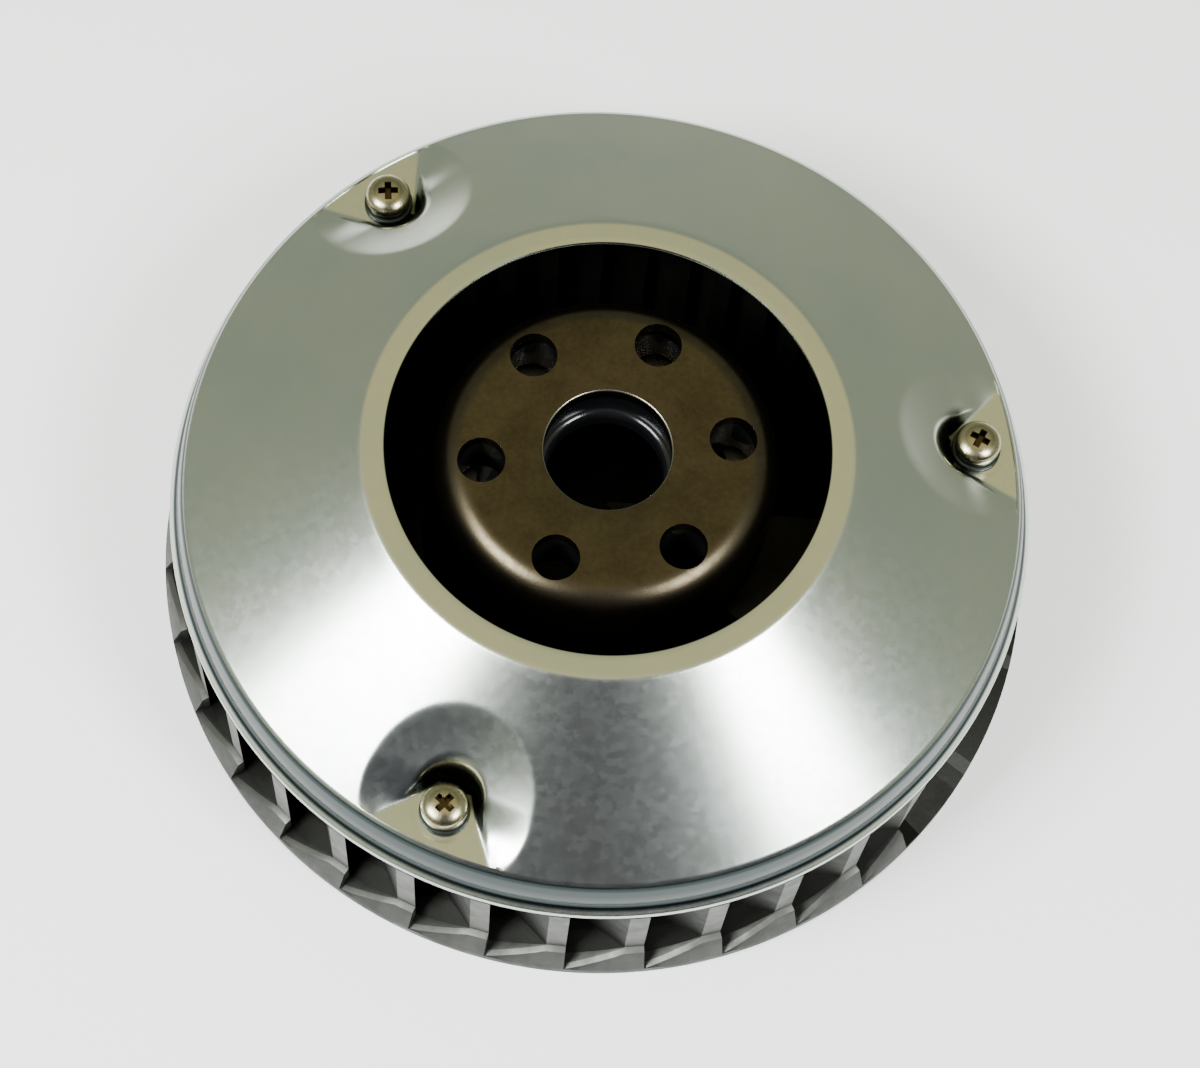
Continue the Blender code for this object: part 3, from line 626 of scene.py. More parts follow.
@dataclass(frozen=True)
class ShadedCasting(Finish):
    """Cast aluminium in its plain colour on the tips, with a painted highlight on the ramps' strips and
    painted shade that deepens into the channels.
    """

    # Painted shade: the darkest colour deep in the channels, and a half shade on the feet.
    deep_shade: Colour = (0.010, 0.010, 0.008)
    half_shade: Colour = (0.042, 0.043, 0.039)

    def dress(self, sheet: Sheet, shader: Node, where: Socket, effects: Effects) -> None:
        """Add the painted highlight and the painted shade to the plain finish."""
        blotch = self.blotches(sheet, where, effects)
        clean = self.body(sheet, blotch)
        # The face attribute read here holds the painted light: painted shade in the channels and a painted
        # highlight on the ramps' strips.
        painted_light = sheet.add("ShaderNodeAttribute", attribute_name="painted_light").outputs["Fac"]
        half_shade = sheet.mix(sheet.step(painted_light, 0.45, 1.0), (*self.half_shade, 1.0), clean)
        sheet.put(shader, "Base Color", sheet.mix(sheet.step(painted_light, 0.0, 0.45), (*self.deep_shade, 1.0), half_shade))
        self.roughen(sheet, shader, blotch)
        self.grain(sheet, shader, sheet.noise(where, self.grain_scale, 4.0), self.grain_depth)


@dataclass(frozen=True)
class StainedScrew(Finish):
    """Yellowish zinc plate whose cross recess has gone brown."""

    rust: Colour = (0.060, 0.042, 0.022)
    recess_radius: float = 3.2 * MM

    def dress(self, sheet: Sheet, shader: Node, where: Socket, effects: Effects) -> None:
        """Add the brown recess to the plain finish."""
        blotch = self.blotches(sheet, where, effects)
        plated = self.body(sheet, blotch)
        parts = sheet.add("ShaderNodeSeparateXYZ")
        sheet.put(parts, 0, where)
        near = effects.use(sheet, effects.reach, Vector=where, Inner=self.recess_radius * 1.05,
                           Outer=self.recess_radius * 0.8).outputs["Mask"]
        deep = sheet.step(parts.outputs[2], -0.05 * MM, -0.7 * MM)
        inside = sheet.math("MULTIPLY", near, deep)
        sheet.put(shader, "Base Color", sheet.mix(inside, plated, (*self.rust, 1.0)))
        self.roughen(sheet, shader, blotch)
        self.grain(sheet, shader, sheet.noise(where, self.grain_scale, 4.0), self.grain_depth)


@dataclass(frozen=True)
class DrawnSteel(Finish):
    """Brown drawn steel whose flange is painted black as painted shade."""

    # Painted shade: the flange deep in the cavity is painted black.
    cavity_shade: Colour = (0.008, 0.008, 0.007)
    # Lighter colour of the bore's broken edge: bare steel with a painted highlight.
    bare_and_sheen: Colour = (0.34, 0.32, 0.27)
    shade_radius: float = 37.0 * MM
    speckle_finer: float = 7.0

    def dress(self, sheet: Sheet, shader: Node, where: Socket, effects: Effects) -> None:
        """Add fine speckles, the bore's edge with its painted highlight and the flange's painted shade to the
        plain finish.
        """
        blotch = self.blotches(sheet, where, effects)
        speckle = self.blotches(sheet, where, effects, self.speckle_finer)
        both = sheet.math("MULTIPLY_ADD", blotch, 0.6, sheet.math("MULTIPLY", speckle, 0.4))
        face = self.body(sheet, both)
        # Painted shade mask over the flange.
        far = effects.use(sheet, effects.reach, Vector=where, Inner=self.shade_radius - 2.4 * MM,
                          Outer=self.shade_radius).outputs["Mask"]
        # The bore's broken edge is painted lighter: bare steel with a painted highlight.
        edge = sheet.add("ShaderNodeAttribute", attribute_name="edge").outputs["Fac"]
        edged = sheet.mix(sheet.math("MULTIPLY", edge, 0.7), face, (*self.bare_and_sheen, 1.0))
        sheet.put(shader, "Base Color", sheet.mix(far, edged, (*self.cavity_shade, 1.0)))
        self.roughen(sheet, shader, both)
        self.grain(sheet, shader, sheet.noise(where, self.grain_scale, 4.0), self.grain_depth)


ZINC = ZincSheet("zinc_plate", (0.54, 0.56, 0.48), (0.48, 0.52, 0.47), roughness=0.20, spread=0.05,
                 blotch_scale=32.0, contrast=3.0)
CASTING = ShadedCasting("cast_aluminium", (0.135, 0.135, 0.125), (0.085, 0.085, 0.077), metallic=0.85,
                        roughness=0.42, spread=0.2, blotch_scale=180.0, grain_scale=900.0,
                        grain_depth=0.05 * MM)
SCREW = StainedScrew("screw_plate", (0.40, 0.37, 0.25), (0.25, 0.21, 0.12), roughness=0.20, spread=0.15,
                     blotch_scale=500.0, grain_scale=2500.0)
# Both washers are painted near black as painted shade under the screw heads.
SPRING = Finish("spring_steel", (0.022, 0.027, 0.025), (0.014, 0.017, 0.015), roughness=0.35)
WASHER = Finish("shaded_washer", (0.045, 0.052, 0.044), (0.025, 0.03, 0.024), roughness=0.35)
CUP = DrawnSteel("drawn_steel", (0.082, 0.068, 0.045), (0.045, 0.034, 0.020), roughness=0.25, spread=0.10,
                 blotch_scale=140.0, contrast=3.0, grain_scale=2200.0, grain_depth=0.012 * MM)
HUB = Finish("black_steel", (0.020, 0.021, 0.024), (0.012, 0.012, 0.014), metallic=0.7, roughness=0.16,
             spread=0.08, coat=0.3, grain_depth=0.004 * MM)
FERRITE = Finish("ferrite", (0.055, 0.055, 0.058), (0.035, 0.035, 0.036), metallic=0.0, roughness=0.6)
STEEL = Finish("plain_steel", (0.42, 0.41, 0.39), (0.30, 0.27, 0.23), roughness=0.35)
# Painted shade: the rivets deep in the cavity are painted near black.
SHADED_RIVET = Finish("shaded_rivet", (0.012, 0.012, 0.011), (0.008, 0.008, 0.007), roughness=0.5)


def dress(piece: Piece, finish: bpy.types.Material, slot: Slot, *nodes: str) -> None:
    """Give a piece its finish, tie it to the wheel and let it stand for CAD nodes.

    Args:
        piece: a finished piece.
        finish: its material.
        slot: the record's slot for that finish; not used.
        nodes: CAD nodes that the piece stands for.
    """
    piece.data.materials.clear()
    piece.data.materials.append(finish)
    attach(piece, BODY)
    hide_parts(*nodes)
    log_book.info("%s: %d faces", piece.name, len(piece.data.polygons))


# ------------------------------------------------------------------ cover plate

@dataclass
class CoverPlate:
    """Conical sheet over the vanes, with a flat inlet ring, three pressed seats and a flared lip."""

    sheet: float = 1.0 * MM
    inlet_radius: float = 44.9 * MM
    top: float = 62.0 * MM
    inlet_round: float = 0.2 * MM
    ring_radius: float = 49.9 * MM
    ring_bend: float = 3.0 * MM
    edge_radius: float = 85.6 * MM
    edge_height: float = 43.3 * MM
    skirt_radius: float = 88.0 * MM
    corner: float = 3.0 * MM
    skirt_lean: float = 12.0
    lip_radius: float = 90.0 * MM
    lip_height: float = 31.6 * MM
    lip_round: float = 1.0 * MM
    seat: float = 42.8 * MM
    seat_apex: float = 67.6 * MM
    seat_half_angle: float = 8.2
    scoop_centre: float = 76.9 * MM
    scoop_radius: float = 17.4 * MM
    dish_depth: float = 2.8 * MM
    dish_round: float = 1.0 * MM
    dish_fade: float = 10.0 * MM
    pad_round: float = 1.5 * MM
    pad_start: float = 73.0 * MM
    pocket_round: float = 1.6 * MM
    pocket_floor: float = 5.6 * MM
    pocket_slope: float = 2.1
    screw_circle: float = 78.0 * MM
    screw_hole: float = 2.65 * MM

    def slope(self) -> float:
        """Fall of the cone per length of radius."""
        return (self.top - self.edge_height) / (self.edge_radius - self.ring_radius)

    def cone(self, radius: float) -> float:
        """Height of the cone's outer side at a radius."""
        return self.top - self.slope() * (radius - self.ring_radius)

    def pressed(self, radius: float, angle: float, height: float) -> float:
        """Height of the sheet where the seats are pressed into it.

        Args:
            radius: distance from the axis.
            angle: angle about the axis, in degrees.
            height: height of the sheet before pressing.

        Returns:
            The height after pressing.
        """
        if not self.ring_radius + 2.0 * MM < radius <= self.edge_radius + 0.01 * MM:
            return height
        turn = (angle + 60.0) % 120.0 - 60.0
        across = abs(radius * sin(radians(turn)))
        along = radius * cos(radians(turn))
        from_edge = self.scoop_radius - hypot(across, along - self.scoop_centre)
        if from_edge <= 0.0:
            return height
        half_base = self.edge_radius * sin(radians(self.seat_half_angle))
        lean = atan2(half_base, self.edge_radius - self.seat_apex)
        from_pad = max(across * cos(lean) - (along - self.seat_apex) * sin(lean), self.pad_start - along, 0.0)
        share = from_pad / (from_pad + from_edge)
        near_edge = self.scoop_radius - from_edge ** 2 / (from_edge + self.dish_round)
        dish = height - self.dish_depth * (1.0 - (near_edge / self.scoop_radius) ** 2)
        straight = (height - self.seat) * share
        outer = ease((along - self.pad_start) / self.dish_fade)
        rise = max(straight, dish - self.seat) * (1.0 - outer) + straight * outer
        bowl = self.seat + rise * ease(from_pad / self.pad_round)
        beyond = max(hypot(across, along - self.screw_circle) - self.pocket_floor, 0.0)
        pocket = self.seat + self.pocket_slope * beyond * ease(beyond / (0.8 * MM))
        blend = max(self.pocket_round - abs(bowl - pocket), 0.0)
        return min(height, min(bowl, pocket) - blend ** 2 / (4.0 * self.pocket_round) * ease(beyond / MM))

    def outer_path(self) -> Outline:
        """Outer side of the sheet, from the inlet's edge to the lip."""
        edge = self.inlet_round
        path = arc((self.inlet_radius + edge, self.top - edge), edge, 180.0, 90.0, 3)
        path += [(radius, self.top) for radius in spread(46.4 * MM, 49.0 * MM, 3)]
        tilt = degrees(atan2(self.slope(), 1.0))
        reach = self.ring_bend * tan(radians(tilt / 2.0))
        path += arc((self.ring_radius - reach, self.top - self.ring_bend), self.ring_bend, 90.0,
                    90.0 - tilt, 5)
        path += [(r * MM, self.cone(r * MM)) for r in (52.0, 54.0, 56.0, 57.5)]
        path += [(r, self.cone(r)) for r in spread(58.6 * MM, self.edge_radius, 60)]
        middle = (self.edge_radius + 0.1 * MM - self.corner * sin(radians(tilt)),
                  self.edge_height - 0.05 * MM - self.corner * cos(radians(tilt)))
        path += arc(middle, self.corner, 90.0 - tilt, self.skirt_lean, 12)
        path += [(self.skirt_radius - 0.35 * MM, 39.5 * MM), (self.skirt_radius, 37.8 * MM)]
        path += arc((self.lip_radius - 0.25 * MM, 35.9 * MM), 1.6 * MM, 180.0, 235.0, 5)
        lip = self.lip_round
        path += arc((self.lip_radius - lip, self.lip_height + lip), lip, 55.0, 0.0, 5)
        path += [(self.lip_radius, self.lip_height + 0.4 * MM), (self.lip_radius - 0.2 * MM, self.lip_height)]
        return path

    def angles(self) -> list[float]:
        """Stations round the axis, close together across each seat."""
        fine = spread(-13.6, 13.6, 84)
        coarse = spread(13.6, 106.4, 46)[1:-1]
        return [seat + angle for seat in SCREW_ANGLES for angle in fine + coarse]

    def build(self) -> Piece:
        """Shape the sheet, press its seats and drill them."""
        outer = self.outer_path()
        inner = list(reversed(list(zip(offset(outer, self.sheet), outer))))
        angles = self.angles()

        def place(column: int, row: int) -> Vector:
            """Point of a column and a row, first along the outer side and then back along the inner."""
            angle = angles[column]
            if row < len(outer):
                radius, height = outer[row]
                return polar(radius, angle, self.pressed(radius, angle, height))
            (radius, height), (lead, lead_height) = inner[row - len(outer)]
            return polar(radius, angle, height - lead_height + self.pressed(lead, angle, lead_height))

        piece = ring_grid("cover_plate_sheet", len(angles), 2 * len(outer), place)
        drill(piece, self.screw_hole, self.screw_circle, SCREW_ANGLES, self.seat - 5.0 * MM,
              self.seat + 5.0 * MM)
        smooth(piece, 60.0)
        return piece


# ------------------------------------------------------------------ fan casting

@dataclass
class FanWheel:
    """Cast plate with swept vanes, ramped feet, a rim, screw bosses and a solid sector."""

    cover: CoverPlate
    base_radius: float = 93.5 * MM
    rim_height: float = 2.4 * MM
    tip_radius: float = 90.0 * MM
    vanes: int = 35
    phase: float = 1.4
    thickness: float = 2.5 * MM
    sweep_angle: float = 38.0
    inner_radius: float = 53.0 * MM
    kink: float = 8.1 * MM
    bore_radius: float = 37.0 * MM
    hub_height: float = 12.0 * MM
    floor_radii: tuple[float, ...] = (37.0 * MM, 43.0 * MM, 49.0 * MM)
    ramp_start: float = 68.0 * MM
    hub_rise: float = 60.0 * MM
    hub_run: float = 11.5 * MM
    underside: Outline = field(default_factory=lambda: [(78.0 * MM, 0.0), (75.0 * MM, 3.5 * MM),
                                                        (53.0 * MM, 7.0 * MM), (37.0 * MM, 7.0 * MM)])
    solid_ramps: tuple[int, ...] = (31, 32, 33, 34)
    solid_radius: float = 66.0 * MM
    shoulder: float = 86.0 * MM
    strip_start: float = 0.15 * MM
    strip_end: float = 2.2 * MM
    strip_width: float = 1.2 * MM
    strip_drop: float = 0.35 * MM
    boss_radius: float = 5.6 * MM
    pocket_radius: float = 80.5 * MM
    pocket_size: tuple[float, float, float] = (10.6 * MM, 31.2 * MM, 42.0 * MM)
    mark_circle: float = 91.6 * MM
    mark_radius: float = 1.7 * MM
    mark_height: float = 24.5 * MM
    shares: tuple[float, ...] = (0.25, 0.5, 0.75, 0.96)

    def pitch(self) -> float:
        """Angle from one vane to the next, in degrees."""
        return 360.0 / self.vanes

    def sector_middle(self) -> float:
        """Angle of the middle of the solid sector, in degrees."""
        return self.phase + self.pitch() * (sum(self.solid_ramps) / len(self.solid_ramps) - 0.5)

    def vane_angle(self, index: int, radius: float) -> float:
        """Angle of a vane's middle at a radius; the vane is a log spiral."""
        held = min(max(radius, self.inner_radius), self.tip_radius)
        return self.phase + index * self.pitch() + degrees(log(held / self.tip_radius)
                                                           / tan(radians(self.sweep_angle)))

    def half_angle(self, radius: float) -> float:
        """Half of a vane's thickness as an angle, in degrees."""
        return degrees(self.thickness / sin(radians(self.sweep_angle)) / 2.0 / radius)

    def floor(self, radius: float, share: float) -> float:
        """Height of a channel's floor; it falls outwards and away from the vane it starts at."""
        outward = min(max((radius - self.ramp_start) / (self.tip_radius - self.ramp_start), 0.0), 1.0)
        inward = min(max((self.hub_rise - radius) / self.hub_run, 0.0), 1.0)
        inner = self.kink + (self.hub_height - self.kink) * inward
        return inner - (self.kink - self.rim_height) * outward * share

    def vane_top(self, radius: float, angle: float) -> float:
        """Height of a vane's top, which follows the cover and its seats from below."""
        height = self.cover.cone(radius)
        return self.cover.pressed(radius, angle, height) - self.cover.sheet - 1.0 * MM

    def rows(self) -> list[tuple[str, float]]:
        """Rows of the grid, from the bore's top out over the tips and back below."""
        inside = [("floor", r) for r in (*self.floor_radii, self.inner_radius)]
        open_part = [("top", r) for r in spread(self.inner_radius, self.solid_radius, 5)]
        solid_part = [("solid", r) for r in spread(self.solid_radius, self.shoulder, 8)]
        outside = [("ledge", self.shoulder), ("ledge", self.tip_radius), ("kink", self.tip_radius),
                   ("foot", 0.0), ("edge", self.strip_width), ("rim", self.rim_height), ("rim", 0.0)]
        below = [("below", r) for r, _ in self.underside]
        return inside + open_part + solid_part + outside + below

    def place(self, column: int, row: tuple[str, float]) -> Vector:
        """Point of the grid.

        Args:
            column: station round the axis; each pitch has the vane's four corners and its floor.
            row: kind of row and its radius, or its height at the rim.

        Returns:
            The point.
        """
        per_pitch = 4 + len(self.shares)
        index, part = divmod(column, per_pitch)
        kind, value = row
        if kind == "rim":
            angle = self.station_angle(index, part, self.base_radius)
            return polar(self.base_radius, angle, value)
        angle = self.station_angle(index, part, value if value > self.bore_radius - MM else self.tip_radius)
        if kind == "below":
            return polar(value, angle, dict(self.underside)[value])
        share = self.station_share(part)
        floor_there = self.floor(self.tip_radius, share)
        on_vane = part in (1, 2)
        solid = self.is_solid(index, part)
        floor = self.floor(value, share)
        if kind == "floor":
            return polar(value, angle, floor)
        if kind == "top":
            return polar(value, angle, self.vane_top(value, angle) if on_vane else floor)
        if kind == "solid":
            return polar(value, angle, self.vane_top(value, angle) if on_vane or solid else floor)
        ledge = self.cover.lip_height - 0.3 * MM
        # Known fault: the solid sector's "foot" and "edge" rows also stop here. Their value is a distance
        # beyond the tips, so they land near the axis and the sector's outer wall is missing.
        if kind == "ledge" or solid:
            return polar(value, angle, ledge if on_vane or solid else floor)
        if kind == "kink":
            return polar(value, angle, self.kink if on_vane else floor)
        if part == 0:
            return polar(self.tip_radius + value, angle, self.rim_height)
        if on_vane:
            share, floor_there = 0.0, self.kink
        drop = self.strip_drop if kind == "edge" else 0.0
        out = self.strip_radius(share) + value
        return polar(out, self.station_angle(index, part, out), max(floor_there - drop, self.rim_height))

    def strip_radius(self, share: float) -> float:
        """Radius where the strip on a ramp's edge begins; the strip carries a painted highlight."""
        return self.tip_radius + self.strip_start + (self.strip_end - self.strip_start) * share

    def station_share(self, part: int) -> float:
        """Share of the way down the ramp: 0 at a vane's low side, 1 at the next vane."""
        return {0: 1.0, 1: 1.0, 2: 0.0, 3: 0.0}.get(part, self.shares[part - 4] if part > 3 else 0.0)

    def station_angle(self, index: int, part: int, radius: float) -> float:
        """Angle of a station at a radius, in degrees; columns run against the vane numbers."""
        vane = -index
        middle = self.vane_angle(vane, radius)
        half = self.half_angle(radius)
        if part < 4:
            return middle + (half if part < 2 else -half)
        gap = self.pitch() - 2.0 * half
        return middle - half - gap * self.shares[part - 4]

    def is_solid(self, index: int, part: int) -> bool:
        """Whether a station belongs to a channel that is cast solid."""
        here = (-index) % self.vanes
        before = (here + 1) % self.vanes
        if part in (0, 1):
            return before in self.solid_ramps
        return here in self.solid_ramps

    def build(self) -> Piece:
        """Shape the casting, round its edges and cut its pocket and its mark."""
        rows = self.rows()
        columns = self.vanes * (4 + len(self.shares))
        piece = ring_grid("fan_wheel_casting", columns, len(rows),
                          lambda column, row: self.place(column, rows[row]))
        smooth(piece, 28.0)
        soften(piece, 0.3 * MM, 2, 28.0)
        bosses = [cylinder(self.boss_radius, 5.0 * MM, self.cover.seat - self.cover.sheet - 0.5 * MM,
                           polar(self.cover.screw_circle, angle, 0.0)) for angle in SCREW_ANGLES]
        cut(piece, self.pocket())
        cut(piece, self.mark())
        join([piece, *bosses])
        self.mark_painted_light(piece)
        return piece

    def mark_painted_light(self, piece: Piece) -> None:
        """Store each face's painted light: 1 on the tips, a painted highlight on the ramps' strips, and less
        inside the channels, which is painted shade.
        """
        painted_light = piece.data.attributes.new("painted_light", "FLOAT", "FACE")
        for face in piece.data.polygons:
            middle = face.center
            radius = hypot(middle.x, middle.y)
            out = (face.normal.x * middle.x + face.normal.y * middle.y) / radius
            angle = degrees(atan2(middle.y, middle.x))
            painted_light.data[face.index].value = self.painted_light_at(radius, angle, middle.z, out)

    def painted_light_at(self, radius: float, angle: float, height: float, out: float) -> float:
        """How lit a face is painted, from deep painted shade at 0 to the plain colour at 1.

        Args:
            radius: distance of its middle from the axis.
            angle: angle of its middle about the axis, in degrees.
            height: height of its middle.
            out: how far it faces outwards, from -1 to 1.

        Returns:
            A value from 0 to 1.
        """
        start = self.phase - self.half_angle(self.tip_radius)
        gap = self.pitch() - 2.0 * self.half_angle(self.tip_radius)
        share = (start - angle) % self.pitch() / gap
        share = share if share <= 1.0 else 0.0
        # Outward faces of the tips keep the plain colour; the tips' sides get painted shade.
        if radius > self.tip_radius - 0.35 * MM and height > self.kink + 0.2 * MM:
            return 1.0 if out > 0.35 else 0.14
        # On the ramps: a painted highlight on the strip, and painted shade over the rest of the foot that
        # deepens across the ramp.
        if radius > self.tip_radius - 0.05 * MM:
            inner = self.strip_radius(share)
            on_strip = inner - 0.2 * MM < radius < inner + self.strip_width + 0.1 * MM
            return 0.95 if on_strip and height > self.rim_height + 0.1 * MM else 0.62 - 0.22 * share
        # Painted shade inside the channels, deepest inwards of 80 mm.
        return 0.14 * ease((radius - 80.0 * MM) / (9.0 * MM))

    def pocket(self) -> Piece:
        """Tool for the ignition magnet's pocket in the underside."""
        start_fresh()
        place = polar(self.pocket_radius, self.sector_middle(), 0.0)
        bpy.ops.mesh.primitive_cube_add(size=1.0, location=place,
                                        rotation=(0.0, 0.0, radians(self.sector_middle())),
                                        scale=self.pocket_size)
        return name_it("pocket_tool")

    def mark(self) -> Piece:
        """Tool for the timing dimple in the sector's outer face."""
        start_fresh()
        place = polar(self.mark_circle, self.sector_middle(), self.mark_height)
        bpy.ops.mesh.primitive_uv_sphere_add(segments=24, ring_count=12, radius=self.mark_radius,
                                             location=place)
        return name_it("mark_tool")


# ------------------------------------------------------------------ rotor cup and hub

@dataclass
class RotorCup:
    """Drawn cup with a flange, a pilot bore and six bolt holes, and the thick hub under its face."""

    top: float = 58.8 * MM
    sheet: float = 3.2 * MM
    radius: float = 35.0 * MM
    corner: float = 6.5 * MM
    flange_radius: float = 48.0 * MM
    flange_low: float = 12.3 * MM
    flange_sheet: float = 2.4 * MM
    pilot_radius: float = 12.95 * MM
    bolt_circle: float = 25.6 * MM
    bolt_radius: float = 4.85 * MM
    bolts: int = 6
    hub_thickness: float = 11.4 * MM
    hub_pilot: float = 12.0 * MM
    hub_ledge: float = 10.0 * MM
    gap: float = 0.3 * MM

    def bolt_angles(self) -> list[float]:
        """Angles of the bolt holes, in degrees."""
        return [360.0 * index / self.bolts for index in range(self.bolts)]

    def build_cup(self) -> Piece:
        """Turn the cup and drill it."""
        flange_top = self.flange_low + self.flange_sheet
        inside = self.radius - self.sheet
        root = 3.0 * MM
        middle = (self.radius - self.corner, self.top - self.corner)
        outline = arc((self.pilot_radius + 0.45 * MM, self.top - 0.45 * MM), 0.45 * MM, 180.0, 90.0, 4)
        outline += arc(middle, self.corner, 90.0, 0.0, 20)
        outline += arc((self.radius + root, flange_top + root), root, 180.0, 270.0, 8)
        outline += arc((self.flange_radius - 0.5 * MM, flange_top - 0.5 * MM), 0.5 * MM, 90.0, 0.0, 3)
        outline += [(self.flange_radius, self.flange_low), (self.radius + root, self.flange_low)]
        outline += arc((inside + 1.0 * MM, flange_top + root - 3.0 * MM), 1.0 * MM, 250.0, 180.0, 3)
        outline += arc(middle, self.corner - self.sheet, 0.0, 90.0, 8)
        outline += [(self.pilot_radius, self.top - self.sheet)]
        piece = turn("rotor_cup_shell", outline, 160)
        drill(piece, self.bolt_radius, self.bolt_circle, self.bolt_angles(), self.top - 8.0 * MM,
              self.top + 4.0 * MM)
        smooth(piece, 35.0)
        soften(piece, 0.3 * MM, 2, 60.0)
        self.mark_edges(piece)
        return piece

    def mark_edges(self, piece: Piece) -> None:
        """Store which faces are the broken edge of the pilot bore, painted lighter as bare steel with a
        painted highlight.
        """
        edge = piece.data.attributes.new("edge", "FLOAT", "FACE")
        for face in piece.data.polygons:
            x, y, z = face.center
            apart = abs(hypot(x, y) - self.pilot_radius - 0.2 * MM)
            broken = apart < 0.45 * MM and 0.15 < face.normal.z < 0.97 and z > self.top - 0.6 * MM
            edge.data[face.index].value = 1.0 if broken else 0.0

    def build_hub(self) -> Piece:
        """Turn the hub and drill it."""
        top = self.top - self.sheet - self.gap
        low = top - self.hub_thickness
        outer = self.radius - self.sheet - 0.5 * MM
        wide = self.pilot_radius + 0.6 * MM
        nose = wide - self.hub_pilot
        ledge = self.top - self.hub_ledge
        chamfer = 0.5 * MM
        corner = self.corner - self.sheet + self.gap
        outline = [(wide, top), (outer - corner, top), (outer, top - corner), (outer, low + chamfer)]
        outline += [(outer - chamfer, low), (self.hub_pilot + chamfer, low), (self.hub_pilot, low + chamfer)]
        outline += arc((wide, ledge - nose), nose, 180.0, 90.0, 12)
        piece = turn("crank_hub_ring", outline, 160)
        drill(piece, self.bolt_radius + 0.15 * MM, self.bolt_circle, self.bolt_angles(), low - 3.0 * MM,
              top + 3.0 * MM)
        smooth(piece, 35.0)
        return piece


# ------------------------------------------------------------------ cover screws

@dataclass
class CoverScrew:
    """Pan head screw with a cross recess, its spring washer and its plain washer."""

    circle: float = 78.0 * MM
    head_radius: float = 4.75 * MM
    head_height: float = 3.4 * MM
    shank_radius: float = 2.35 * MM
    shank_end: float = 24.0 * MM
    seat: float = 42.8 * MM
    plain_radius: float = 5.1 * MM
    plain_thickness: float = 0.9 * MM
    spring_radius: float = 4.6 * MM
    spring_thickness: float = 1.2 * MM
    recess: float = 2.9 * MM
    recess_width: float = 1.9 * MM
    recess_depth: float = 1.9 * MM

    def plain_low(self) -> float:
        """Height of the plain washer's underside."""
        return self.seat + 0.2 * MM

    def spring_low(self) -> float:
        """Height of the spring washer's underside."""
        return self.plain_low() + self.plain_thickness + 0.2 * MM

    def head_low(self) -> float:
        """Height of the head's underside."""
        return self.spring_low() + self.spring_thickness + 0.2 * MM

    def head_top(self) -> float:
        """Height of the head's crown."""
        return self.head_low() + self.head_height

    def build_head(self, angle: float, twist: float) -> Piece:
        """Turn the screw on the axis, cut its recess and move it to its place.

        Args:
            angle: place of the screw on its circle, in degrees.
            twist: direction of the recess, in degrees.

        Returns:
            The screw.
        """
        low, top = self.head_low(), self.head_top()
        rise = self.head_height - 1.1 * MM
        dome = [(self.head_radius * cos(radians(a)) ** 0.8, low + 1.1 * MM + rise * sin(radians(a)))
                for a in spread(0.0, 88.0, 14)]
        outline = [(0.0, self.shank_end), (self.shank_radius - 0.6 * MM, self.shank_end),
                   (self.shank_radius, self.shank_end + 0.8 * MM), (self.shank_radius, low),
                   (self.head_radius - 0.3 * MM, low), (self.head_radius, low + 0.3 * MM)]
        outline += dome + [(0.0, top)]
        piece = turn("screw", outline, 64)
        cut(piece, self.cross(twist), own_overlaps=True)
        smooth(piece, 35.0)
        soften(piece, 0.12 * MM, 2, 45.0)
        shift(piece, polar(self.circle, angle, 0.0))
        return piece

    def cross(self, twist: float) -> Piece:
        """Tool for the recess: two crossed wedges that narrow downwards."""
        tools = []
        for turned in (twist, twist + 90.0):
            start_fresh()
            bpy.ops.mesh.primitive_cube_add(size=2.0, location=(0.0, 0.0, self.head_top()),
                                            rotation=(0.0, 0.0, radians(turned)),
                                            scale=(self.recess, self.recess_width / 2.0, self.recess_depth))
            tool = name_it("recess_tool")
            for vertex in tool.data.vertices:
                if vertex.co.z < self.head_top():
                    vertex.co.x *= 0.5
                    vertex.co.y *= 0.5
            tools.append(tool)
        return join(tools)

    def build_spring(self, angle: float) -> Piece:
        """Turn the split washer, with a gap between its two ends."""
        inner = self.shank_radius + 0.3 * MM
        low, high = self.spring_low(), self.spring_low() + self.spring_thickness
        outline = [(inner, low), (self.spring_radius, low), (self.spring_radius, high), (inner, high)]
        piece = turn("spring_washer", outline, 48, 346.0)
        smooth(piece, 35.0)
        soften(piece, 0.15 * MM, 2, 50.0)
        shift(piece, polar(self.circle, angle, 0.0))
        return piece

    def build_plain(self, angle: float) -> Piece:
        """Turn the plain washer with rounded edges."""
        low, high = self.plain_low(), self.plain_low() + self.plain_thickness
        edge = 0.25 * MM
        outline = [(self.shank_radius + 0.3 * MM, low)]
        outline += arc((self.plain_radius - edge, low + edge), edge, 270.0, 360.0, 3)
        outline += arc((self.plain_radius - edge, high - edge), edge, 0.0, 90.0, 3)
        outline += [(self.shank_radius + 0.3 * MM, high)]
        piece = turn("plain_washer", outline, 48)
        smooth(piece, 35.0)
        shift(piece, polar(self.circle, angle, 0.0))
        return piece


# ------------------------------------------------------------------ magnets and rivets

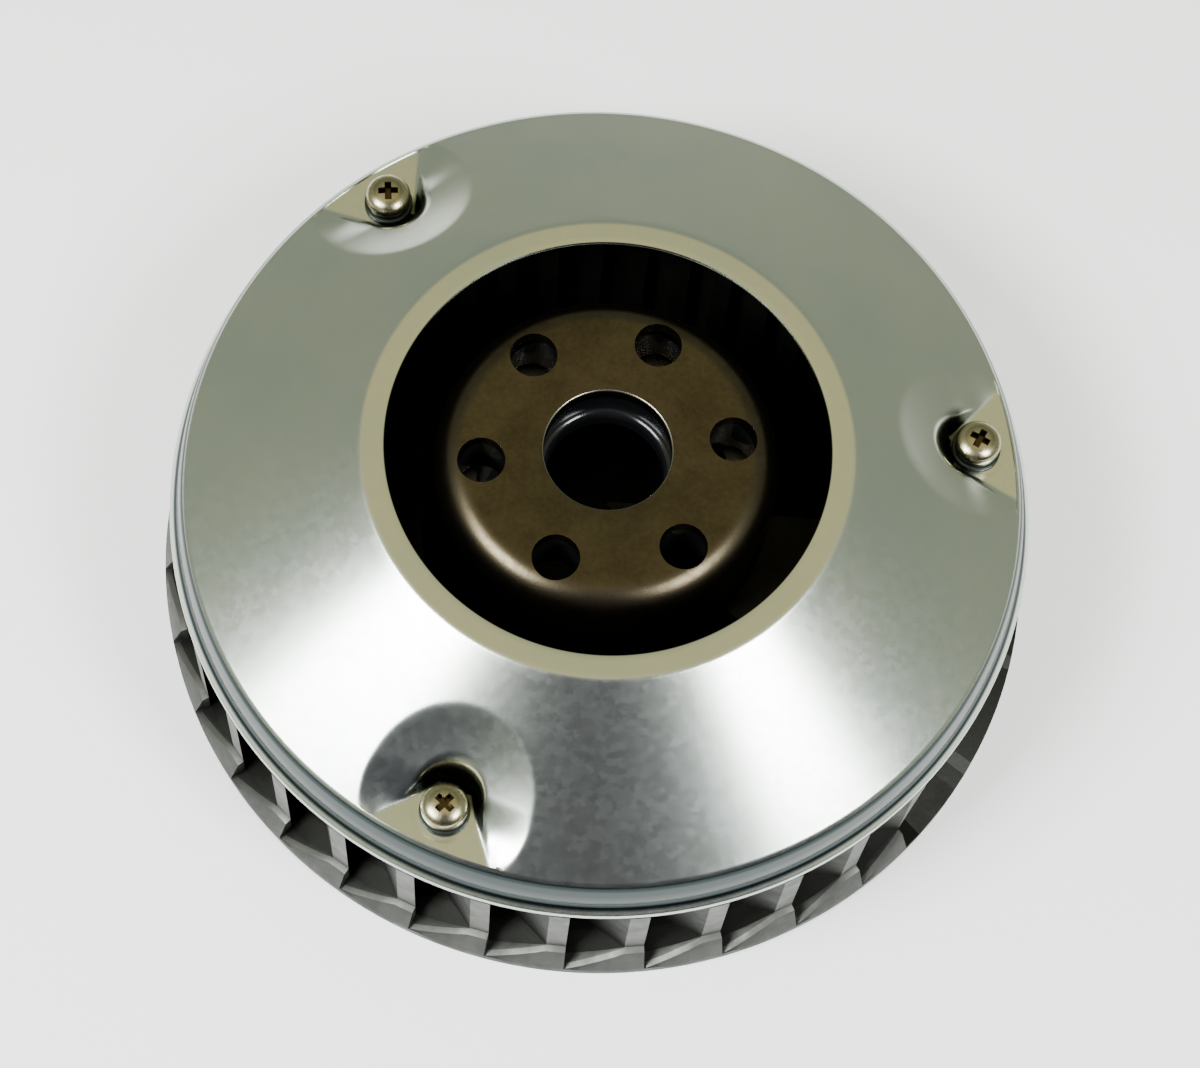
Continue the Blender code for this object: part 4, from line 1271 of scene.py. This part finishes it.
@dataclass
class InnerPieces:
    """Magnets, their cage and the rivets of the cup's flange."""

    cup: RotorCup
    magnets: int = 6
    thickness: float = 4.2 * MM
    low: float = 17.5 * MM
    high: float = 39.5 * MM
    cage_sheet: float = 0.7 * MM
    rivet_circle: float = 43.0 * MM
    rivet_shank: float = 2.4 * MM
    rivet_head: float = 4.1 * MM
    head_height: float = 2.0 * MM
    plate_underside: float = 7.0 * MM

    def build_magnet(self) -> Piece:
        """Spin one arc magnet from the first magnet's lower end."""
        outer = self.cup.radius - self.cup.sheet - self.cup.gap
        inner = outer - self.thickness
        outline = [(inner, self.low), (outer, self.low), (outer, self.high), (inner, self.high)]
        piece = turn("magnet", outline, 24, 360.0 / self.magnets - 6.0)
        smooth(piece, 35.0)
        soften(piece, 0.4 * MM, 2, 50.0)
        return piece

    def build_cage(self) -> Piece:
        """Turn the sleeve and its collar."""
        outer = self.cup.radius - self.cup.sheet - self.cup.gap
        sleeve = outer - self.thickness - self.cup.gap
        collar = self.high + self.cup.gap
        low = self.low - 1.0 * MM
        outline = [(sleeve, low), (sleeve, collar), (outer, collar), (outer, collar + self.cage_sheet)]
        outline += [(sleeve - self.cage_sheet, collar + self.cage_sheet), (sleeve - self.cage_sheet, low)]
        piece = turn("magnet_cage_sleeve", outline, 128)
        smooth(piece, 35.0)
        return piece

    def build_rivet(self) -> Piece:
        """Turn one rivet with a round head at each end."""
        top = self.cup.flange_low + self.cup.flange_sheet + 0.15 * MM
        under = self.plate_underside - 0.15 * MM
        head = [(self.rivet_head * cos(radians(a)), top + self.head_height * sin(radians(a)))
                for a in spread(0.0, 80.0, 6)]
        tail = [(radius, under - (height - top)) for radius, height in reversed(head)]
        outline = [(0.0, under - self.head_height)] + tail
        outline += [(self.rivet_shank, under), (self.rivet_shank, top)]
        outline += head + [(0.0, top + self.head_height)]
        piece = turn("rivet", outline, 40)
        smooth(piece, 35.0)
        return piece


# ------------------------------------------------------------------ studio

@dataclass
class Studio:
    """Pale floor, two soft boxes, a dim sky and the camera."""

    floor_size: float = 8.0
    camera_place: tuple[float, float, float] = (-0.0526, -0.2334, 0.6140)
    camera_forward: tuple[float, float, float] = (0.0821, 0.3604, -0.9292)
    camera_right: tuple[float, float, float] = (0.9932, -0.1070, 0.0462)
    lens: float = 90.0

    def build(self, effects: Effects) -> None:
        """Set up everything that is not the wheel."""
        self.build_floor(effects)
        self.build_sky()
        self.soft_box("left_box", (-0.612, -0.198, 0.766), (-0.27, 0.41, -0.10), 0.85, (0.34, 0.34), 13.6)
        self.soft_box("right_box", (0.475, -0.434, 0.765), (0.374, 0.215, -0.09), 0.85, (0.215, 0.34), 8.8)
        self.build_camera()

    def build_floor(self, effects: Effects) -> None:
        """Lay the floor, with a painted shadow only where the wheel covers it."""
        start_fresh()
        bpy.ops.mesh.primitive_plane_add(size=self.floor_size)
        floor = name_it("floor")
        made = bpy.data.materials.new("pale_floor")
        made.use_nodes = True
        shader = made.node_tree.nodes["Principled BSDF"]
        shader.inputs["Roughness"].default_value = 0.9
        sheet = Sheet(made.node_tree)
        # Painted shadow: under the wheel the floor is near black and does not glow.
        under = effects.use(sheet, effects.reach, Vector=sheet.add("ShaderNodeTexCoord").outputs["Object"],
                            Inner=0.070, Outer=0.088).outputs["Mask"]
        sheet.put(shader, "Base Color", sheet.mix(under, (0.01, 0.01, 0.01, 1.0), (0.95, 0.95, 0.95, 1.0)))
        sheet.put(shader, "Emission Color", sheet.mix(under, (0.0, 0.0, 0.0, 1.0), (1.0, 1.0, 1.0, 1.0)))
        sheet.put(shader, "Emission Strength", 0.45)
        floor.data.materials.append(made)

    def build_sky(self) -> None:
        """Make the room's light: cream above, grey-green at the sides, dark in front."""
        world = bpy.data.worlds.new("room")
        world.use_nodes = True
        bpy.context.scene.world = world
        sheet = Sheet(world.node_tree)
        back = world.node_tree.nodes["Background"]
        way = sheet.add("ShaderNodeTexCoord").outputs["Generated"]
        parts = sheet.add("ShaderNodeSeparateXYZ")
        sheet.put(parts, 0, way)
        side = (0.48, 0.53, 0.40, 1.0)
        above = (1.02, 0.95, 0.50, 1.0)
        dark = (0.065, 0.062, 0.085, 1.0)
        room = sheet.mix(sheet.step(parts.outputs[2], 0.72, 0.93), side, above)
        front = sheet.add("ShaderNodeVectorMath", operation="DOT_PRODUCT")
        sheet.put(front, 0, way)
        sheet.put(front, 1, Vector((0.08, -0.80, 0.60)).normalized())
        sheet.put(back, "Color", sheet.mix(sheet.step(front.outputs["Value"], 0.62, 0.82), room, dark))
        sheet.put(back, "Strength", 0.9)

    def soft_box(self, name: str, way: tuple[float, float, float], along: tuple[float, float, float],
                 distance: float, size: tuple[float, float], power: float) -> None:
        """Hang a soft box that looks at the wheel.

        Args:
            name: name of the light.
            way: direction from the wheel to the light.
            along: direction that its width runs in.
            distance: distance from the wheel.
            size: width and height of the box.
            power: power in watts.
        """
        start_fresh()
        bpy.ops.object.light_add(type="AREA")
        lamp = bpy.context.view_layer.objects.active
        lamp.name = name
        back = Vector(way).normalized()
        right = (Vector(along) - back * back.dot(Vector(along))).normalized()
        place = back * distance + Vector((0.0, 0.0, 0.045))
        facing = Matrix((right, back.cross(right), back)).transposed().to_4x4()
        lamp.matrix_world = Matrix.Translation(place) @ facing
        lamp.data.shape = "RECTANGLE"
        lamp.data.size, lamp.data.size_y = size
        lamp.data.energy = power
        lamp.data.color = (0.95, 1.0, 1.0)

    def build_camera(self) -> None:
        """Place the camera and make it the scene's."""
        data = bpy.data.cameras.new("camera")
        data.lens = self.lens
        data.sensor_width = 36.0
        data.sensor_fit = "HORIZONTAL"
        camera = bpy.data.objects.new("camera", data)
        bpy.context.scene.collection.objects.link(camera)
        back = -Vector(self.camera_forward).normalized()
        right = Vector(self.camera_right)
        right = (right - back * right.dot(back)).normalized()
        up = back.cross(right)
        turn_matrix = Matrix((right, up, back)).transposed()
        camera.matrix_world = Matrix.Translation(Vector(self.camera_place)) @ turn_matrix.to_4x4()
        bpy.context.scene.camera = camera


# ------------------------------------------------------------------ assembly

def build_screws(screw: CoverScrew, effects: Effects) -> None:
    """Build the three cover screws with their washers."""
    spring = SPRING.make(effects)
    plain = WASHER.make(effects)
    twists = (54.0, -3.0, 40.0)
    for index, (angle, twist) in enumerate(zip(SCREW_ANGLES, twists), start=1):
        centre = polar(screw.circle, angle, screw.head_top())
        head = screw.build_head(angle, twist)
        head.name = f"cover_screw_{index}_body"
        dress(head, SCREW.make(effects, centre), Slot.SCREW, f"cover_screw_{index}")
        ring = screw.build_spring(angle)
        ring.name = f"cover_spring_washer_{index}_ring"
        dress(ring, spring, Slot.SPRING, f"cover_spring_washer_{index}")
        disc = screw.build_plain(angle)
        disc.name = f"cover_plain_washer_{index}_ring"
        dress(disc, plain, Slot.SCREW, f"cover_plain_washer_{index}")


def build_inner_pieces(inner: InnerPieces, effects: Effects) -> None:
    """Build magnets, cage and rivets, and finish the blocks in the pocket."""
    # The rivets get the near-black painted shade finish.
    ferrite, steel, cavity_shade = FERRITE.make(effects), STEEL.make(effects), SHADED_RIVET.make(effects)
    dress(inner.build_cage(), steel, Slot.MAGNET_STEEL, "magnet_cage")
    magnet, rivet = inner.build_magnet(), inner.build_rivet()
    shift(rivet, Vector((inner.rivet_circle, 0.0, 0.0)))
    step = 360.0 / inner.magnets
    for index in range(inner.magnets):
        arc_magnet = copy_of(magnet, f"rotor_magnet_{index + 1}_arc", index * step + 3.0)
        dress(arc_magnet, ferrite, Slot.MAGNET, f"rotor_magnet_{index + 1}")
        fixed = copy_of(rivet, f"cup_rivet_{index + 1}_body", 30.0 + index * step)
        dress(fixed, cavity_shade, Slot.MAGNET_STEEL, f"cup_rivet_{index + 1}")
    for spare in (magnet, rivet):
        bpy.data.objects.remove(spare, do_unlink=True)
    for node, finish in (("ignition_magnet", ferrite), ("pole_shoe_1", steel), ("pole_shoe_2", steel)):
        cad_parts[node].data.materials.clear()
        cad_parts[node].data.materials.append(finish)


def main() -> None:
    """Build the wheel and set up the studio."""
    logging.basicConfig(level=logging.INFO, format="%(name)s: %(message)s")
    effects = Effects()
    cover = CoverPlate()
    cup = RotorCup()
    dress(cover.build(), ZINC.make(effects), Slot.COVER, "cover_plate")
    dress(FanWheel(cover).build(), CASTING.make(effects), Slot.CASTING, "fan_wheel")
    dress(cup.build_cup(), CUP.make(effects), Slot.CUP, "rotor_cup")
    dress(cup.build_hub(), HUB.make(effects), Slot.HUB, "crank_hub")
    build_screws(CoverScrew(), effects)
    build_inner_pieces(InnerPieces(cup), effects)
    Studio().build(effects)
    start_fresh()


if __name__ == "__main__":
    main()
